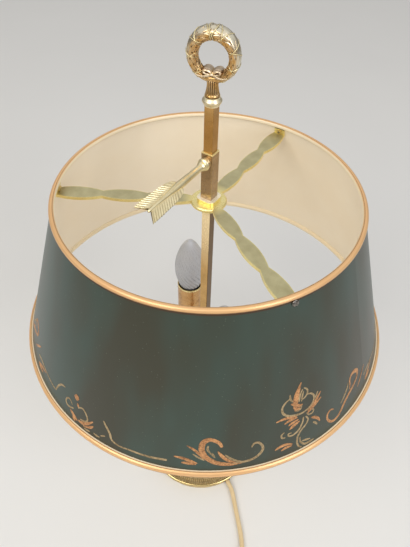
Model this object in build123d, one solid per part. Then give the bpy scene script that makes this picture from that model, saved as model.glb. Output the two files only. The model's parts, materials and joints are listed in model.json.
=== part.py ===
"""Two-light bouillotte lamp with a tole shade that slides on a square rod and is held by an arrow-shaped key.

Millimetres. The table is z = 0, the rod stands on the Z axis, and the arrow key points along -Y.
"""
from build123d import *
from math import atan2, cos, degrees, pi, radians, sin, sqrt, tan
import os

# ---------------------------------------------------------------- driving sizes
# Base
BASE_DIA = 160.0            # over the rolled rim
FOOT_HEIGHT = 9.6           # plain wall under the roll
FOOT_RECESS = 2.5           # how far that wall stands back from the roll's edge
BASE_ROLL = 4.0             # height of the rolled rim
FLANK_RUN = 5.5             # fluted band, measured inwards
FLANK_RISE = 9.0            # and upwards
GALLERY_BEAD = 3.0          # bead on the dish's upper edge
DISH_DEPTH = 6.5            # from the gallery's top to the dish's floor
DISH_COVE = 6.0             # sweep from the floor up to the gallery
SPUN_WALL = 2.0             # spun brass of the dish
FELT = 0.8
BASE_PLATE = 1.0
WEIGHT_DIA = 108.0

# Centre column
TUBE_DIA = 10.0             # threaded tube that ties the column together
TUBE_WALL = 1.5
COLUMN_FOOT_DIA = 54.0
COLUMN_FOOT_HEIGHT = 24.0
SHAFT_LENGTH = 110.0
SHAFT_FOOT_DIA = 25.0
SHAFT_NECK_DIA = 19.0
FLUTES = 12
FLUTE_DIA = 4.6
CAPITAL_HEIGHT = 28.0
CAPITAL_DIA = 35.0
HUB_HEIGHT = 34.0
HUB_DIA = 32.0
SOCKET_HEIGHT = 18.0
SOCKET_DIA = 21.0
ROD_SEAT = 10.0             # depth of the square pocket in the rod socket

# Rod and finial
ROD_SIDE = 8.5
ROD_LENGTH = 337.4
STUD_DIA = 5.0
STUD_LENGTH = 10.0
COLLAR_DIA = 15.4
COLLAR_HEIGHT = 7.0
NECK_FOOT_DIA = 10.8
NECK_TOP_DIA = 8.6
NECK_HEIGHT = 10.5
NECK_FLUTES = 10
NECK_FLUTE_DIA = 1.6
WREATH_DIA = 41.0
WREATH_THICK = 9.6
WREATH_TURN = 16.0          # degrees from the X axis
ROSETTE_DIA = 11.6
ROSETTE_PROUD = 1.2         # of the wreath, each side

# Candle arms
CANDLE_RADIUS = 50.0        # from the rod to each candle
CANDLE_TURN = 144.0         # degrees from X to the first arm; the other is opposite
ARM_DIA = 8.0
ARM_BORE = 4.6
ARM_DROP = 11.0             # dip of the S curve below the hub
ARM_SEAT = 6.0              # length of arm held in the hub
ARM_RISE = 18.0             # from the arm's root up to the pan's seat
PAN_DIA = 42.0
PAN_RISE = 5.0
PAN_WALL = 1.2
CUP_DIA = 35.0
CUP_HEIGHT = 22.0
CUP_FLOOR = 10.0            # underside of the cup to the candle sleeve's seat
CANDLE_DIA = 29.3
CANDLE_WALL = 0.8
CANDLE_LENGTH = 85.2
HOLDER_DIA = 24.4
CAP_DIA = 13.9              # E14 cap
CAP_LENGTH = 22.5
CAP_SUNK = 10.0             # cap's top below the candle's rim
BULB_DIA = 35.0
BULB_PROUD = 68.0           # of the bulb's tip above the candle sleeve
BULB_WALL = 1.0

# Shade and its carrier
SHADE_TOP_DIA = 272.0       # over the rolled edge
SHADE_BOTTOM_DIA = 373.0
SHADE_HEIGHT = 161.0
SHEET = 0.6
TOP_ROLL = 5.0
BOTTOM_ROLL = 7.0
SHADE_ABOVE_SLEEVE_TOP = -38.0   # shade's top edge measured from the sleeve's top
SLEEVE_DROP = 40.0          # rest height: sleeve's top below the finial collar
SLEEVE_SIDE = 10.8
SLEEVE_LENGTH = 56.0
KEY_BELOW_TOP = 8.0
SPIDER_BELOW_EDGE = 10.9    # arms' upper face below the shade's top edge
SPIDER_THICK = 2.8
SPIDER_HUB_DIA = 32.0
SPIDER_COLLAR_SIDE = 17.5
SPIDER_COLLAR_RISE = 3.5
SPIDER_BOSS_DIA = 25.0
SPIDER_ARMS = 3
SPIDER_TURN = 90.0          # degrees from X to the first arm
LOBES = 3
LOBE_WIDTH = 14.2
LOBE_NECK = 7.8
TAB_WIDTH = 11.0
TAB_THICK = 2.0
TAB_BELOW_EDGE = 5.2
SCREW_BELOW_EDGE = 7.3
SCREW_DIA = 2.5
SCREW_HEAD_DIA = 4.2
SCREW_NUT_FLATS = 4.5

# Arrow key
KEY_SCREW_DIA = 4.0
KEY_BOSS_DIA = 9.8
KEY_BOSS_LENGTH = 3.2
KEY_RING_DIA = 9.0
KEY_SHAFT_DIA = 4.6
ARROW_LENGTH = 87.3         # rod's axis to the feather tips
ARROW_NOTCH = 4.8           # depth of the V between the tips
FLETCH_LENGTH = 43.0
FLETCH_FRONT = 11.0         # width where the feathers leave the shaft
FLETCH_BACK = 19.1          # width at the tips
FLETCH_THICK = 2.0
BARBS = 8
KEY_TILT = -23.0            # degrees the feathers are turned about the arrow's own axis

# Cord
CORD_DIA = 6.2
CORD_EXIT_TURN = -26.5      # degrees from X
CORD_EXIT_HEIGHT = 5.1
CORD_LIE = CORD_DIA / 2     # height of the cord's centre where it lies on the table
BUSH_DIA = 8.4
BUSH_LENGTH = 22.0
WIRE_DIA = 2.2
COIL_MID_RADIUS = 37.2
COIL_PITCH = 6.2
COIL_ROWS_BELOW = 4         # turns side by side in the lower layer
COIL_ROWS_ABOVE = 3         # and in the upper one, from the inside outwards
COIL_CENTRE = (142.1, -240.0)

# In-line switch
SWITCH_LENGTH = 62.0
SWITCH_WIDTH = 26.0
SWITCH_HEIGHT = 19.0
SWITCH_SPLIT = 9.0          # height of the joint between its two shells
SWITCH_WALL = 2.2
SWITCH_CORD_HEIGHT = 7.5
SWITCH_INLET = (147.9, -128.7)
SWITCH_TURN = -67.35        # degrees from X along which the switch lies
ROCKER_LENGTH = 20.0
ROCKER_WIDTH = 9.6
ROCKER_DEPTH = 6.0          # of its window below the switch's top
ROCKER_TILT = 7.0           # degrees either side of level
PIVOT_DIA = 2.0
SWITCH_POST_DIA = 6.5
SWITCH_SCREW_DIA = 2.5
SWITCH_SCREW_OFFSET = 18.5  # of each screw from the switch's middle

# Plug: flat two-pin
PLUG_WIDTH = 35.3
PLUG_THICK = 13.7
PLUG_LENGTH = 26.0
PLUG_BOOT_LENGTH = 22.0
PIN_DIA = 4.0
PIN_LENGTH = 19.0
PIN_SPACING = 18.6
PLUG_HEIGHT = 7.1           # its axis above the table

# Clearances
FIT = 0.05                  # radial, thread or running fit
SLIDE_FIT = 0.1            # each side, sleeve on rod
GAP = 0.3                   # between bodies that move past each other
SEAT = 0.1                  # radial, pieces that are assembled by hand

QUARTER_BOW = 1 - cos(pi / 4)   # bow of a quarter circle of radius 1

# ---------------------------------------------------------------- worked-out heights and radii
base_radius = BASE_DIA / 2
foot_radius = base_radius - FOOT_RECESS
roll_top = FOOT_HEIGHT + BASE_ROLL
flank_top_radius = foot_radius - FLANK_RUN
gallery_top = roll_top + FLANK_RISE + GALLERY_BEAD / 2
dish_floor = gallery_top - DISH_DEPTH
dish_underside = dish_floor - SPUN_WALL
plate_top = FELT + BASE_PLATE

tube_radius = TUBE_DIA / 2
tube_bore = tube_radius - TUBE_WALL
column_bore = tube_radius + SEAT
shaft_base = dish_floor + COLUMN_FOOT_HEIGHT
shaft_top = shaft_base + SHAFT_LENGTH
hub_base = shaft_top + CAPITAL_HEIGHT
hub_top = hub_base + HUB_HEIGHT
arm_height = hub_base + HUB_HEIGHT * 0.47
socket_top = hub_top + SOCKET_HEIGHT
rod_base = socket_top - ROD_SEAT
tube_top = rod_base - 1.0
rod_top = rod_base + ROD_LENGTH
neck_base = rod_top + COLLAR_HEIGHT
wreath_height = neck_base + NECK_HEIGHT + WREATH_DIA / 2 - WREATH_THICK * 0.08
wreath_mid_radius = (WREATH_DIA - WREATH_THICK) / 2

tube_foot = FELT + 6.4      # leaves room for the wires to turn up into the tube
nut_height = 4.5
washer_thick = 0.8
weight_seat = tube_foot + nut_height + washer_thick

pan_seat = arm_height + ARM_RISE
cup_seat = pan_seat + PAN_WALL
candle_seat = cup_seat + CUP_FLOOR
candle_rim = candle_seat + CANDLE_LENGTH
bulb_tip = candle_rim + BULB_PROUD
cap_top = candle_rim - CAP_SUNK
cap_base = cap_top - CAP_LENGTH
spigot_top = candle_seat + 5.0

sleeve_top = rod_top - SLEEVE_DROP
sleeve_base = sleeve_top - SLEEVE_LENGTH
shade_top = sleeve_top + SHADE_ABOVE_SLEEVE_TOP
shade_base = shade_top - SHADE_HEIGHT
key_height = sleeve_top - KEY_BELOW_TOP
top_roll_radius = (SHADE_TOP_DIA - TOP_ROLL) / 2       # middle of the sheet at the upper roll
bottom_roll_radius = (SHADE_BOTTOM_DIA - BOTTOM_ROLL) / 2
top_roll_height = shade_top - TOP_ROLL / 2
bottom_roll_height = shade_base + BOTTOM_ROLL / 2
shade_slope = (bottom_roll_radius - top_roll_radius) / (top_roll_height - bottom_roll_height)
shade_lean = degrees(atan2(shade_slope, 1))
spider_top = shade_top - SPIDER_BELOW_EDGE
spider_base = spider_top - SPIDER_THICK
tab_top = shade_top - TAB_BELOW_EDGE
screw_height = shade_top - SCREW_BELOW_EDGE
fletch_start = ARROW_LENGTH - FLETCH_LENGTH

cord_radius = CORD_DIA / 2
coil_inner = COIL_MID_RADIUS - (COIL_ROWS_BELOW - 1) / 2 * COIL_PITCH - cord_radius


def polar(radius, turn, height=0.0):
    """Point at a radius and an angle in degrees about the rod."""
    return Vector(radius * cos(radians(turn)), radius * sin(radians(turn)), height)


cord_exit = polar(foot_radius, CORD_EXIT_TURN, CORD_EXIT_HEIGHT)
switch_way = polar(1, SWITCH_TURN)
switch_inlet = Vector(*SWITCH_INLET, SWITCH_CORD_HEIGHT)
switch_outlet = switch_inlet + switch_way * SWITCH_LENGTH

# Points of the cord between the base and the switch, the switch and the coil, the coil and the plug
ROUTE_TO_SWITCH = [
    (78.0, -38.9, 5.1),
    (87.7, -47.2, 4.1),
    (98.7, -59.2, 3.15),
    (111.3, -72.5, CORD_LIE),
    (125.3, -87.4, CORD_LIE),
    (135.5, -101.7, 3.2),
    (140.6, -111.4, 5.2),
    (144.6, -120.7, 7.4),
]
ROUTE_TO_COIL = [
    (175.2, -194.7, 7.2),
    (179.3, -204.6, 4.6),
    (183.3, -215.6, 3.2),
    (186.6, -226.5, CORD_LIE),
]
ROUTE_TO_PLUG = [
    (133.0, -279.3, 9.3),
    (122.3, -276.8, 9.35),
    (110.7, -273.7, 9.2),
    (99.3, -270.0, 7.9),
    (88.2, -265.5, 5.6),
    (77.4, -260.2, 4.6),
    (67.1, -254.4, 5.7),
    (58.2, -249.4, PLUG_HEIGHT),
    (51.3, -245.3, PLUG_HEIGHT),
]


# ---------------------------------------------------------------- helpers
def turned(*stations):
    """Solid of revolution about Z. A station is (radius, height), or (radius, height, bow) where the outline
    reaches it along an arc that bows by that much to the left of its way."""
    outline = []
    for start, end in zip(stations, stations[1:] + stations[:1]):
        bow = end[2] if len(end) == 3 else 0
        outline.append(SagittaArc(start[:2], end[:2], bow) if bow else Line(start[:2], end[:2]))
    return revolve(Plane.XZ * make_face(outline), Axis.Z)


def disc(radius, low, high, bore=0.0):
    """Round disc or ring between two heights."""
    solid = Pos(0, 0, low) * extrude(Circle(radius), high - low)
    if bore:
        solid -= Pos(0, 0, low) * extrude(Circle(bore), high - low)
    return solid


def square_bar(side, low, high, corner=0.0):
    """Square bar about Z with its flats across X and Y."""
    face = RectangleRounded(side, side, corner) if corner else Rectangle(side, side)
    return Pos(0, 0, low) * extrude(face, high - low)


def route_path(points):
    """Straight runs joined by tangent arcs, each as large as its two runs allow."""
    corners = [Vector(*p) for p in points]
    radii = []
    for before, corner, after in zip(corners, corners[1:], corners[2:]):
        run_in, run_out = corner - before, after - corner
        half_turn = radians(run_in.get_angle(run_out)) / 2
        radii.append(0.45 * min(run_in.length, run_out.length) / tan(half_turn))
    return FilletPolyline(*corners, radius=radii), radii


def tube_along(path, radius):
    """Round bar swept along a path."""
    return sweep(Plane(origin=path @ 0, z_dir=path % 0) * Circle(radius), path=path)


def on_candle(solid, number):
    """Moves a piece made on the Z axis out to one of the two candles."""
    return Pos(*polar(CANDLE_RADIUS, CANDLE_TURN + 180 * number)) * solid


# ---------------------------------------------------------------- base
def base_dish():
    """Spun dish with a recessed foot, a rolled rim, a coved flank and a beaded gallery round a shallow well."""
    inner_foot = foot_radius - SPUN_WALL
    bead = GALLERY_BEAD / 2
    well_radius = flank_top_radius - GALLERY_BEAD
    dish = turned(
        (inner_foot, FELT),
        (foot_radius, FELT),
        (foot_radius, FOOT_HEIGHT),
        (foot_radius, roll_top, -FOOT_RECESS),
        (flank_top_radius, roll_top + FLANK_RISE, FLANK_RUN * 0.25),
        (well_radius, roll_top + FLANK_RISE, -bead),
        (well_radius - DISH_COVE, dish_floor, 1.2),
        (column_bore, dish_floor),
        (column_bore, dish_underside),
        (well_radius - DISH_COVE, dish_underside),
        (well_radius + 0.2, dish_underside + DISH_DEPTH * 0.62),
        (inner_foot, roll_top - BASE_ROLL * 0.3),
    )
    bush_hole = Cylinder(BUSH_DIA / 2 + SEAT, 8 * SPUN_WALL, rotation=(0, 90, 0))
    slot = Pos(0, 0, -FOOT_HEIGHT / 2) * Box(8 * SPUN_WALL, BUSH_DIA + 2 * SEAT, FOOT_HEIGHT)
    at_wall = Pos(*cord_exit) * Rot(0, 0, CORD_EXIT_TURN)
    return dish - at_wall * (bush_hole + slot)


def felt_pad():
    return disc(foot_radius - GAP, 0, FELT)


def base_plate():
    """Steel closing plate, notched for the cord bush."""
    notch = Pos(*polar(foot_radius - BUSH_LENGTH / 2, CORD_EXIT_TURN, plate_top)) * Rot(0, 0, CORD_EXIT_TURN) * Box(
        BUSH_LENGTH + 2, BUSH_DIA + 2 * SEAT, 4 * BASE_PLATE
    )
    return disc(foot_radius - SPUN_WALL - SEAT, FELT, plate_top) - notch


def base_weight():
    """Cast-iron disc with a counterbore for the nut and a channel for the wires."""
    weight = turned(
        (column_bore, weight_seat),
        (column_bore, dish_underside),
        (WEIGHT_DIA / 2 - 3, dish_underside),
        (WEIGHT_DIA / 2, dish_underside - 3),
        (WEIGHT_DIA / 2, plate_top + SEAT),
        (TUBE_DIA * 1.4, plate_top + SEAT),
        (TUBE_DIA * 1.4, weight_seat),
    )
    channel_length = WEIGHT_DIA / 2 + 2
    channel = Pos(channel_length / 2, 0, plate_top) * Box(
        channel_length, BUSH_DIA + 1, 2 * (CORD_EXIT_HEIGHT + BUSH_DIA / 2 - plate_top)
    )
    return weight - Rot(0, 0, CORD_EXIT_TURN) * channel


def cord_bush():
    """Tapered rubber strain relief, most of it inside the base."""
    outer, bore = BUSH_DIA / 2, cord_radius + FIT
    lip = FOOT_RECESS * 0.6
    body = turned(
        (bore, 0),
        (bore + 0.6, 0),
        (outer - SEAT, BUSH_LENGTH * 0.7),
        (outer - SEAT, BUSH_LENGTH + lip),
        (bore, BUSH_LENGTH + lip),
    )
    start = polar(foot_radius - BUSH_LENGTH, CORD_EXIT_TURN, CORD_EXIT_HEIGHT)
    return Plane(origin=start, z_dir=polar(1, CORD_EXIT_TURN)) * body


def base_nut():
    nut = Pos(0, 0, tube_foot) * extrude(RegularPolygon(TUBE_DIA * 0.75, 6, major_radius=False), nut_height)
    return nut - disc(tube_radius + FIT, tube_foot - 1, tube_foot + nut_height + 1)


def base_washer():
    return disc(TUBE_DIA * 1.25, tube_foot + nut_height, weight_seat, bore=column_bore)


# ---------------------------------------------------------------- column
def centre_tube():
    """Threaded tube from the base nut up to the rod socket, with a window for each arm's wire."""
    tube = disc(tube_radius, tube_foot, tube_top, bore=tube_bore)
    window = Cylinder(tube_bore, 3 * TUBE_DIA, rotation=(0, 90, 0))
    return tube - Pos(0, 0, arm_height) * Rot(0, 0, CANDLE_TURN) * window


def column_foot():
    """Spreading foot: plinth, cavetto and torus."""
    radius, neck, plinth = COLUMN_FOOT_DIA / 2, SHAFT_FOOT_DIA / 2, 1.25
    torus_proud, fillet, torus, band = 1.5, 1.0, 5.0, 2.0
    torus_base = shaft_base - band - torus
    return turned(
        (column_bore, dish_floor),
        (radius - plinth, dish_floor),
        (radius - plinth, dish_floor + 2 * plinth, -plinth),
        (radius - 2.5, dish_floor + 2 * plinth + 1),
        (neck + torus_proud, torus_base - fillet, 5.5),
        (neck + torus_proud, torus_base),
        (neck + torus_proud, shaft_base - band, -2.4),
        (neck, shaft_base - band),
        (neck, shaft_base),
        (column_bore, shaft_base),
    )


def column_shaft():
    """Tapered shaft with round-ended flutes between two plain fillets."""
    low, high = SHAFT_FOOT_DIA / 2, SHAFT_NECK_DIA / 2
    shaft = turned((column_bore, shaft_base), (low, shaft_base), (high, shaft_top), (column_bore, shaft_top))
    margin = 7.0
    foot_point = Vector(low - (low - high) * margin / SHAFT_LENGTH + FLUTE_DIA * 0.22, 0, shaft_base + margin)
    head_point = Vector(high + (low - high) * margin / SHAFT_LENGTH + FLUTE_DIA * 0.22, 0, shaft_top - margin)
    way = head_point - foot_point
    flute = Plane(origin=foot_point, z_dir=way) * extrude(Circle(FLUTE_DIA / 2), way.length)
    for end in (foot_point, head_point):
        flute += Pos(*end) * Sphere(FLUTE_DIA / 2)
    for n in range(FLUTES):
        shaft -= Rot(0, 0, 360 / FLUTES * n) * flute
    return shaft


def column_capital():
    """Moulded capital: necking, bell and abacus."""
    neck, radius = SHAFT_NECK_DIA / 2, CAPITAL_DIA / 2
    return turned(
        (column_bore, shaft_top),
        (neck, shaft_top),
        (neck, shaft_top + 2),
        (neck, shaft_top + 5, -1.4),
        (neck - 0.6, shaft_top + 6),
        (radius - 3, hub_base - 7, 3.2),
        (radius - 1.3, hub_base - 6),
        (radius - 1.3, hub_base - 3, -1.3),
        (radius - 4, hub_base - 2),
        (radius - 4, hub_base),
        (column_bore, hub_base),
    )


def arm_hub():
    """Vase-shaped hub, drilled for the tube and for the seat and wire of each arm."""
    foot, belly, neck = CAPITAL_DIA / 2 - 6, HUB_DIA / 2, SOCKET_DIA / 2 - 1
    hub = turned(
        (column_bore, hub_base),
        (foot, hub_base),
        (foot, hub_base + 2),
        (foot - 2.5, hub_base + 4),
        (belly - 0.8, arm_height - 2, 2.0),
        (belly - 0.8, arm_height + 3, -0.8),
        (neck - 1, hub_top - 6, 2.2),
        (neck, hub_top - 4),
        (neck, hub_top - 1, -1.0),
        (neck, hub_top),
        (column_bore, hub_top),
    )
    seats = Cylinder(ARM_BORE / 2, HUB_DIA + 4, rotation=(0, 90, 0))
    for side in (-1, 1):
        seats += Pos(side * (2 * belly - ARM_SEAT), 0, 0) * Cylinder(ARM_DIA / 2 + FIT, HUB_DIA, rotation=(0, 90, 0))
    return hub - Pos(0, 0, arm_height) * Rot(0, 0, CANDLE_TURN) * seats


def rod_socket():
    """Turned collar screwed on the tube's end, with a square pocket for the rod."""
    radius = SOCKET_DIA / 2
    socket = turned(
        (0, hub_top),
        (radius - 2, hub_top),
        (radius - 0.4, hub_top + 4, -0.6),
        (radius - 0.4, hub_top + 6, -0.4),
        (radius - 3.5, socket_top - 5, 1.2),
        (radius - 3.5, socket_top - 3),
        (radius - 3.8, socket_top, -1.0),
        (0, socket_top),
    )
    socket -= disc(tube_radius + FIT, hub_top - 1, tube_top + 0.5)
    return socket - square_bar(ROD_SIDE, rod_base, socket_top + 1)


def centre_rod():
    """Square rod, tapped at the top for the finial's stud."""
    rod = square_bar(ROD_SIDE, rod_base, rod_top, corner=0.5)
    return rod - disc(STUD_DIA / 2 + FIT, rod_top - STUD_LENGTH - 1, rod_top + 1)


# ---------------------------------------------------------------- finial
def finial_collar():
    """Turned bead between the rod and the finial's neck."""
    radius, waist = COLLAR_DIA / 2, ROD_SIDE * 0.72
    return turned(
        (STUD_DIA / 2 + FIT, rod_top),
        (waist, rod_top),
        (waist, rod_top + 0.8),
        (radius - 0.6, rod_top + 2.2),
        (radius - 0.6, rod_top + 4.8, -0.6),
        (waist, neck_base - 0.8),
        (waist, neck_base),
        (STUD_DIA / 2 + FIT, neck_base),
    )


def finial():
    """One casting: threaded stud, fluted neck, rosette and wreath ring."""
    foot, top = NECK_FOOT_DIA / 2, NECK_TOP_DIA / 2
    neck_top = neck_base + NECK_HEIGHT
    neck = turned(
        (0, neck_base),
        (foot - 0.5, neck_base),
        (foot, neck_base + 1.5, -0.3),
        (top, neck_top, 0.5),
        (top, neck_top + WREATH_THICK / 2),
        (0, neck_top + WREATH_THICK / 2),
    )
    low, high = Vector(foot + 0.35, 0, neck_base + 1.5), Vector(top + 0.35, 0, neck_top - 1)
    flute = Plane(origin=low, z_dir=high - low) * extrude(Circle(NECK_FLUTE_DIA / 2), (high - low).length)
    flute += Pos(*low) * Sphere(NECK_FLUTE_DIA / 2) + Pos(*high) * Sphere(NECK_FLUTE_DIA / 2)
    for n in range(NECK_FLUTES):
        neck -= Rot(0, 0, 360 / NECK_FLUTES * n) * flute
    stud = disc(STUD_DIA / 2, rod_top - STUD_LENGTH, neck_base + 1)
    upright = Rot(0, 0, WREATH_TURN) * Rot(90, 0, 0)
    ring = Pos(0, 0, wreath_height) * upright * Torus(wreath_mid_radius, WREATH_THICK / 2)
    rosette = Cylinder(ROSETTE_DIA / 2, WREATH_THICK + 2 * ROSETTE_PROUD)
    rosette = fillet(rosette.edges().filter_by(GeomType.CIRCLE), 1.0)
    return neck + stud + ring + Pos(0, 0, wreath_height - wreath_mid_radius + 0.9) * upright * rosette


# ---------------------------------------------------------------- candles
def arm_route(number):
    """Centre line of one arm: out of the hub, down and up again under the candle."""
    turn = CANDLE_TURN + 180 * number
    start = HUB_DIA / 2 - ARM_SEAT
    stations = [
        (start, arm_height),
        (start + 12, arm_height),
        (CANDLE_RADIUS - 19, arm_height - ARM_DROP),
        (CANDLE_RADIUS, arm_height - ARM_DROP),
        (CANDLE_RADIUS, spigot_top),
    ]
    points = [polar(r, turn, z) for r, z in stations]
    return FilletPolyline(*points, radius=[ARM_DIA * 1.4, ARM_DIA * 1.6, ARM_DIA * 1.35])


def candle_arm(number):
    """S-curved hollow arm with a ring at the hub, a seat for the drip pan and a spigot for the lampholder."""
    path = arm_route(number)
    arm = tube_along(path, ARM_DIA / 2)
    seat = turned(
        (0, pan_seat - 5),
        (ARM_DIA / 2 + 0.5, pan_seat - 5),
        (ARM_DIA / 2 + 3.5, pan_seat - 1.5, 1.2),
        (ARM_DIA / 2 + 3.5, pan_seat),
        (0, pan_seat),
    )
    ring_length = 3.0
    ring = turned((0, 0), (ARM_DIA / 2 + 2, 0), (ARM_DIA / 2 + 2, ring_length, -1.0), (0, ring_length))
    turn = CANDLE_TURN + 180 * number
    at_hub = Plane(origin=polar(HUB_DIA / 2 + 1.0, turn, arm_height), z_dir=polar(1, turn))
    arm += on_candle(seat, number) + at_hub * ring
    return arm - tube_along(path, ARM_BORE / 2)


def drip_pan(number):
    """Spun drip pan with a beaded edge."""
    radius, wall = PAN_DIA / 2, PAN_WALL
    pan = turned(
        (ARM_DIA / 2 + SEAT, pan_seat),
        (ARM_DIA / 2 + 4, pan_seat),
        (radius - wall, pan_seat + PAN_RISE - wall, -1.0),
        (radius - wall, pan_seat + PAN_RISE + wall, -wall),
        (radius - 2 * wall, pan_seat + PAN_RISE),
        (ARM_DIA / 2 + 4, cup_seat, 1.0),
        (ARM_DIA / 2 + SEAT, cup_seat),
    )
    return on_candle(pan, number)


def candle_cup(number):
    """Turned urn that holds the foot of the candle sleeve."""
    radius, bore = CUP_DIA / 2, CANDLE_DIA / 2 + SEAT
    cup = turned(
        (ARM_DIA / 2 + SEAT, cup_seat),
        (8.0, cup_seat),
        (8.0, cup_seat + 1.5, -0.7),
        (6.5, cup_seat + 3.5, 0.4),
        (radius - 1.0, candle_seat + 2, -2.6),
        (radius - 1.6, cup_seat + CUP_HEIGHT - 3, 0.6),
        (radius, cup_seat + CUP_HEIGHT - 1.5, -0.3),
        (bore + 1.2, cup_seat + CUP_HEIGHT, -0.3),
        (bore, cup_seat + CUP_HEIGHT),
        (bore, candle_seat),
        (ARM_DIA / 2 + SEAT, candle_seat),
    )
    return on_candle(cup, number)


def candle_sleeve(number):
    return on_candle(disc(CANDLE_DIA / 2, candle_seat, candle_rim, bore=CANDLE_DIA / 2 - CANDLE_WALL), number)


def lampholder(number):
    """E14 lampholder: a chamber for the wires below, the threaded socket above, open at both ends."""
    radius, socket = HOLDER_DIA / 2, CAP_DIA / 2 + SEAT
    floor = candle_seat + 3.0
    partition = cap_base - 4.5
    holder = turned(
        (ARM_DIA / 2 + FIT, candle_seat),
        (radius, candle_seat),
        (radius, cap_top - 1),
        (socket, cap_top - 1),
        (socket, partition + 2.5),
        (1.6, partition + 2.5),
        (1.6, partition),
        (radius - 2, partition),
        (radius - 2, floor),
        (ARM_DIA / 2 + FIT, floor),
    )
    return on_candle(holder, number)


def bulb_cap(number):
    """Screw cap with its centre contact, open above where the glass sits."""
    radius = CAP_DIA / 2
    cap = turned(
        (0, cap_base - 1.8),
        (1.8, cap_base - 1.2),
        (2.4, cap_base),
        (radius - 1.5, cap_base + 1.2),
        (radius, cap_base + 2.5),
        (radius, cap_top),
        (radius - 0.8, cap_top),
        (radius - 0.8, cap_base + 3.0),
        (0, cap_base + 2.0),
    )
    return on_candle(cap, number)


def bulb_form(shrink):
    """Solid candle shape from the cap up to the tip, drawn in all round by the given wall."""
    widest, neck, tip = BULB_DIA / 2 - shrink, CAP_DIA / 2 - shrink, bulb_tip - shrink
    belly = candle_rim + BULB_PROUD * 0.385
    rise = tip - belly
    swell = Bezier((neck, cap_top), (widest * 0.66, cap_top + BULB_PROUD * 0.08),
                   (widest, belly - BULB_PROUD * 0.2), (widest, belly))
    flame = Bezier((widest, belly), (widest, belly + rise * 0.53), (widest * 0.31, tip), (0, tip))
    outline = [Line((0, cap_top), (neck, cap_top)), swell, flame, Line((0, tip), (0, cap_top))]
    return revolve(Plane.XZ * make_face(outline), Axis.Z)


def bulb_glass(number):
    """Blown candle-shaped bulb, open at its neck."""
    return on_candle(bulb_form(0) - bulb_form(BULB_WALL), number)


def lamp_wires():
    """Two wires from the cord bush through the weight's channel, up the tube and out along each arm."""
    wires = Part()
    inner_end = foot_radius - BUSH_LENGTH - 1.0
    offset = WIRE_DIA / 2 + 0.35
    for number in (0, 1):
        turn = CANDLE_TURN + 180 * number
        lift = polar(offset, turn)
        side = polar(offset, CORD_EXIT_TURN + (90 if number else -90))
        start = polar(inner_end, CORD_EXIT_TURN, CORD_EXIT_HEIGHT) + side
        turn_in = Vector(lift.X, lift.Y, CORD_EXIT_HEIGHT)
        rise = FilletPolyline(
            start,
            turn_in,
            Vector(lift.X, lift.Y, arm_height),
            polar(HUB_DIA / 2 - ARM_SEAT + 1, turn, arm_height),
            radius=WIRE_DIA * 1.15,
        )
        wires += tube_along(rise, WIRE_DIA / 2)
        path = arm_route(number)
        wires += tube_along(path, WIRE_DIA / 2)
        top = polar(CANDLE_RADIUS, turn, spigot_top)
        wires += Pos(*top) * extrude(Circle(WIRE_DIA / 2), cap_base - 4.5 - spigot_top - GAP)
    return wires


# ---------------------------------------------------------------- shade and carrier
def sheet_radius(height, offset=0.0):
    """Radius of the shade's sheet at a height, offset from the middle of the sheet."""
    return top_roll_radius + shade_slope * (top_roll_height - height) + offset / cos(radians(shade_lean))


def shade_cone(offset, low, high):
    """Solid cone bounded by the sheet's surface at an offset from its middle."""
    return turned((0, low), (sheet_radius(low, offset), low), (sheet_radius(high, offset), high), (0, high))


def screw_plane(number):
    """Where a shade screw crosses the sheet, facing straight out of it with a level x axis."""
    turn = SPIDER_TURN + 360 / SPIDER_ARMS * number
    out = polar(cos(radians(shade_lean)), turn, sin(radians(shade_lean)))
    seat = polar(sheet_radius(screw_height), turn, screw_height)
    return Plane(origin=seat, x_dir=polar(1, turn + 90), z_dir=out)


def screw_holes():
    """Cylinders that clear every shade screw."""
    holes = Part()
    for n in range(SPIDER_ARMS):
        holes += screw_plane(n) * Cylinder(SCREW_DIA / 2 + FIT, 5 * TAB_THICK)
    return holes


def shade_shell():
    shell = shade_cone(SHEET / 2, bottom_roll_height, top_roll_height)
    shell -= shade_cone(-SHEET / 2, bottom_roll_height - 1, top_roll_height + 1)
    return shell - screw_holes()


def rim_roll(radius, height, thick):
    """Rolled edge that closes over the sheet down to the roll's middle."""
    toward_shade = 1 if height < screw_height - SHADE_HEIGHT / 2 else -1
    deep = height + toward_shade * thick
    slot = make_face(Polyline(
        (sheet_radius(height, -SHEET / 2), height), (sheet_radius(height, SHEET / 2), height),
        (sheet_radius(deep, SHEET / 2), deep), (sheet_radius(deep, -SHEET / 2), deep), close=True))
    return revolve(Plane.XZ * (Pos(radius, height) * Circle(thick / 2) - slot), Axis.Z)


def spider_arm_outline():
    """Flat outline of one arm along +X: a chain of lens-shaped lobes from the hub to the wall."""
    start, end = SPIDER_HUB_DIA / 2 - 1, sheet_radius(spider_base) + 2
    neck, bulge = LOBE_NECK / 2, (LOBE_WIDTH - LOBE_NECK) / 2
    reach = (end - 5 - start) / LOBES
    upper, lower = [], []
    for n in range(LOBES):
        left, right = start + reach * n, start + reach * (n + 1)
        last = TAB_WIDTH / 2 if n == LOBES - 1 else neck
        upper.append(SagittaArc((left, neck), (right, last), bulge))
        lower.append(SagittaArc((left, -neck), (right, -last), -bulge))
    far = start + reach * LOBES
    ends = [
        Line((start, neck), (start, -neck)),
        Line((far, TAB_WIDTH / 2), (end, TAB_WIDTH / 2)),
        Line((far, -TAB_WIDTH / 2), (end, -TAB_WIDTH / 2)),
        Line((end, TAB_WIDTH / 2), (end, -TAB_WIDTH / 2)),
    ]
    return make_face(upper + lower + ends)


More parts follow.
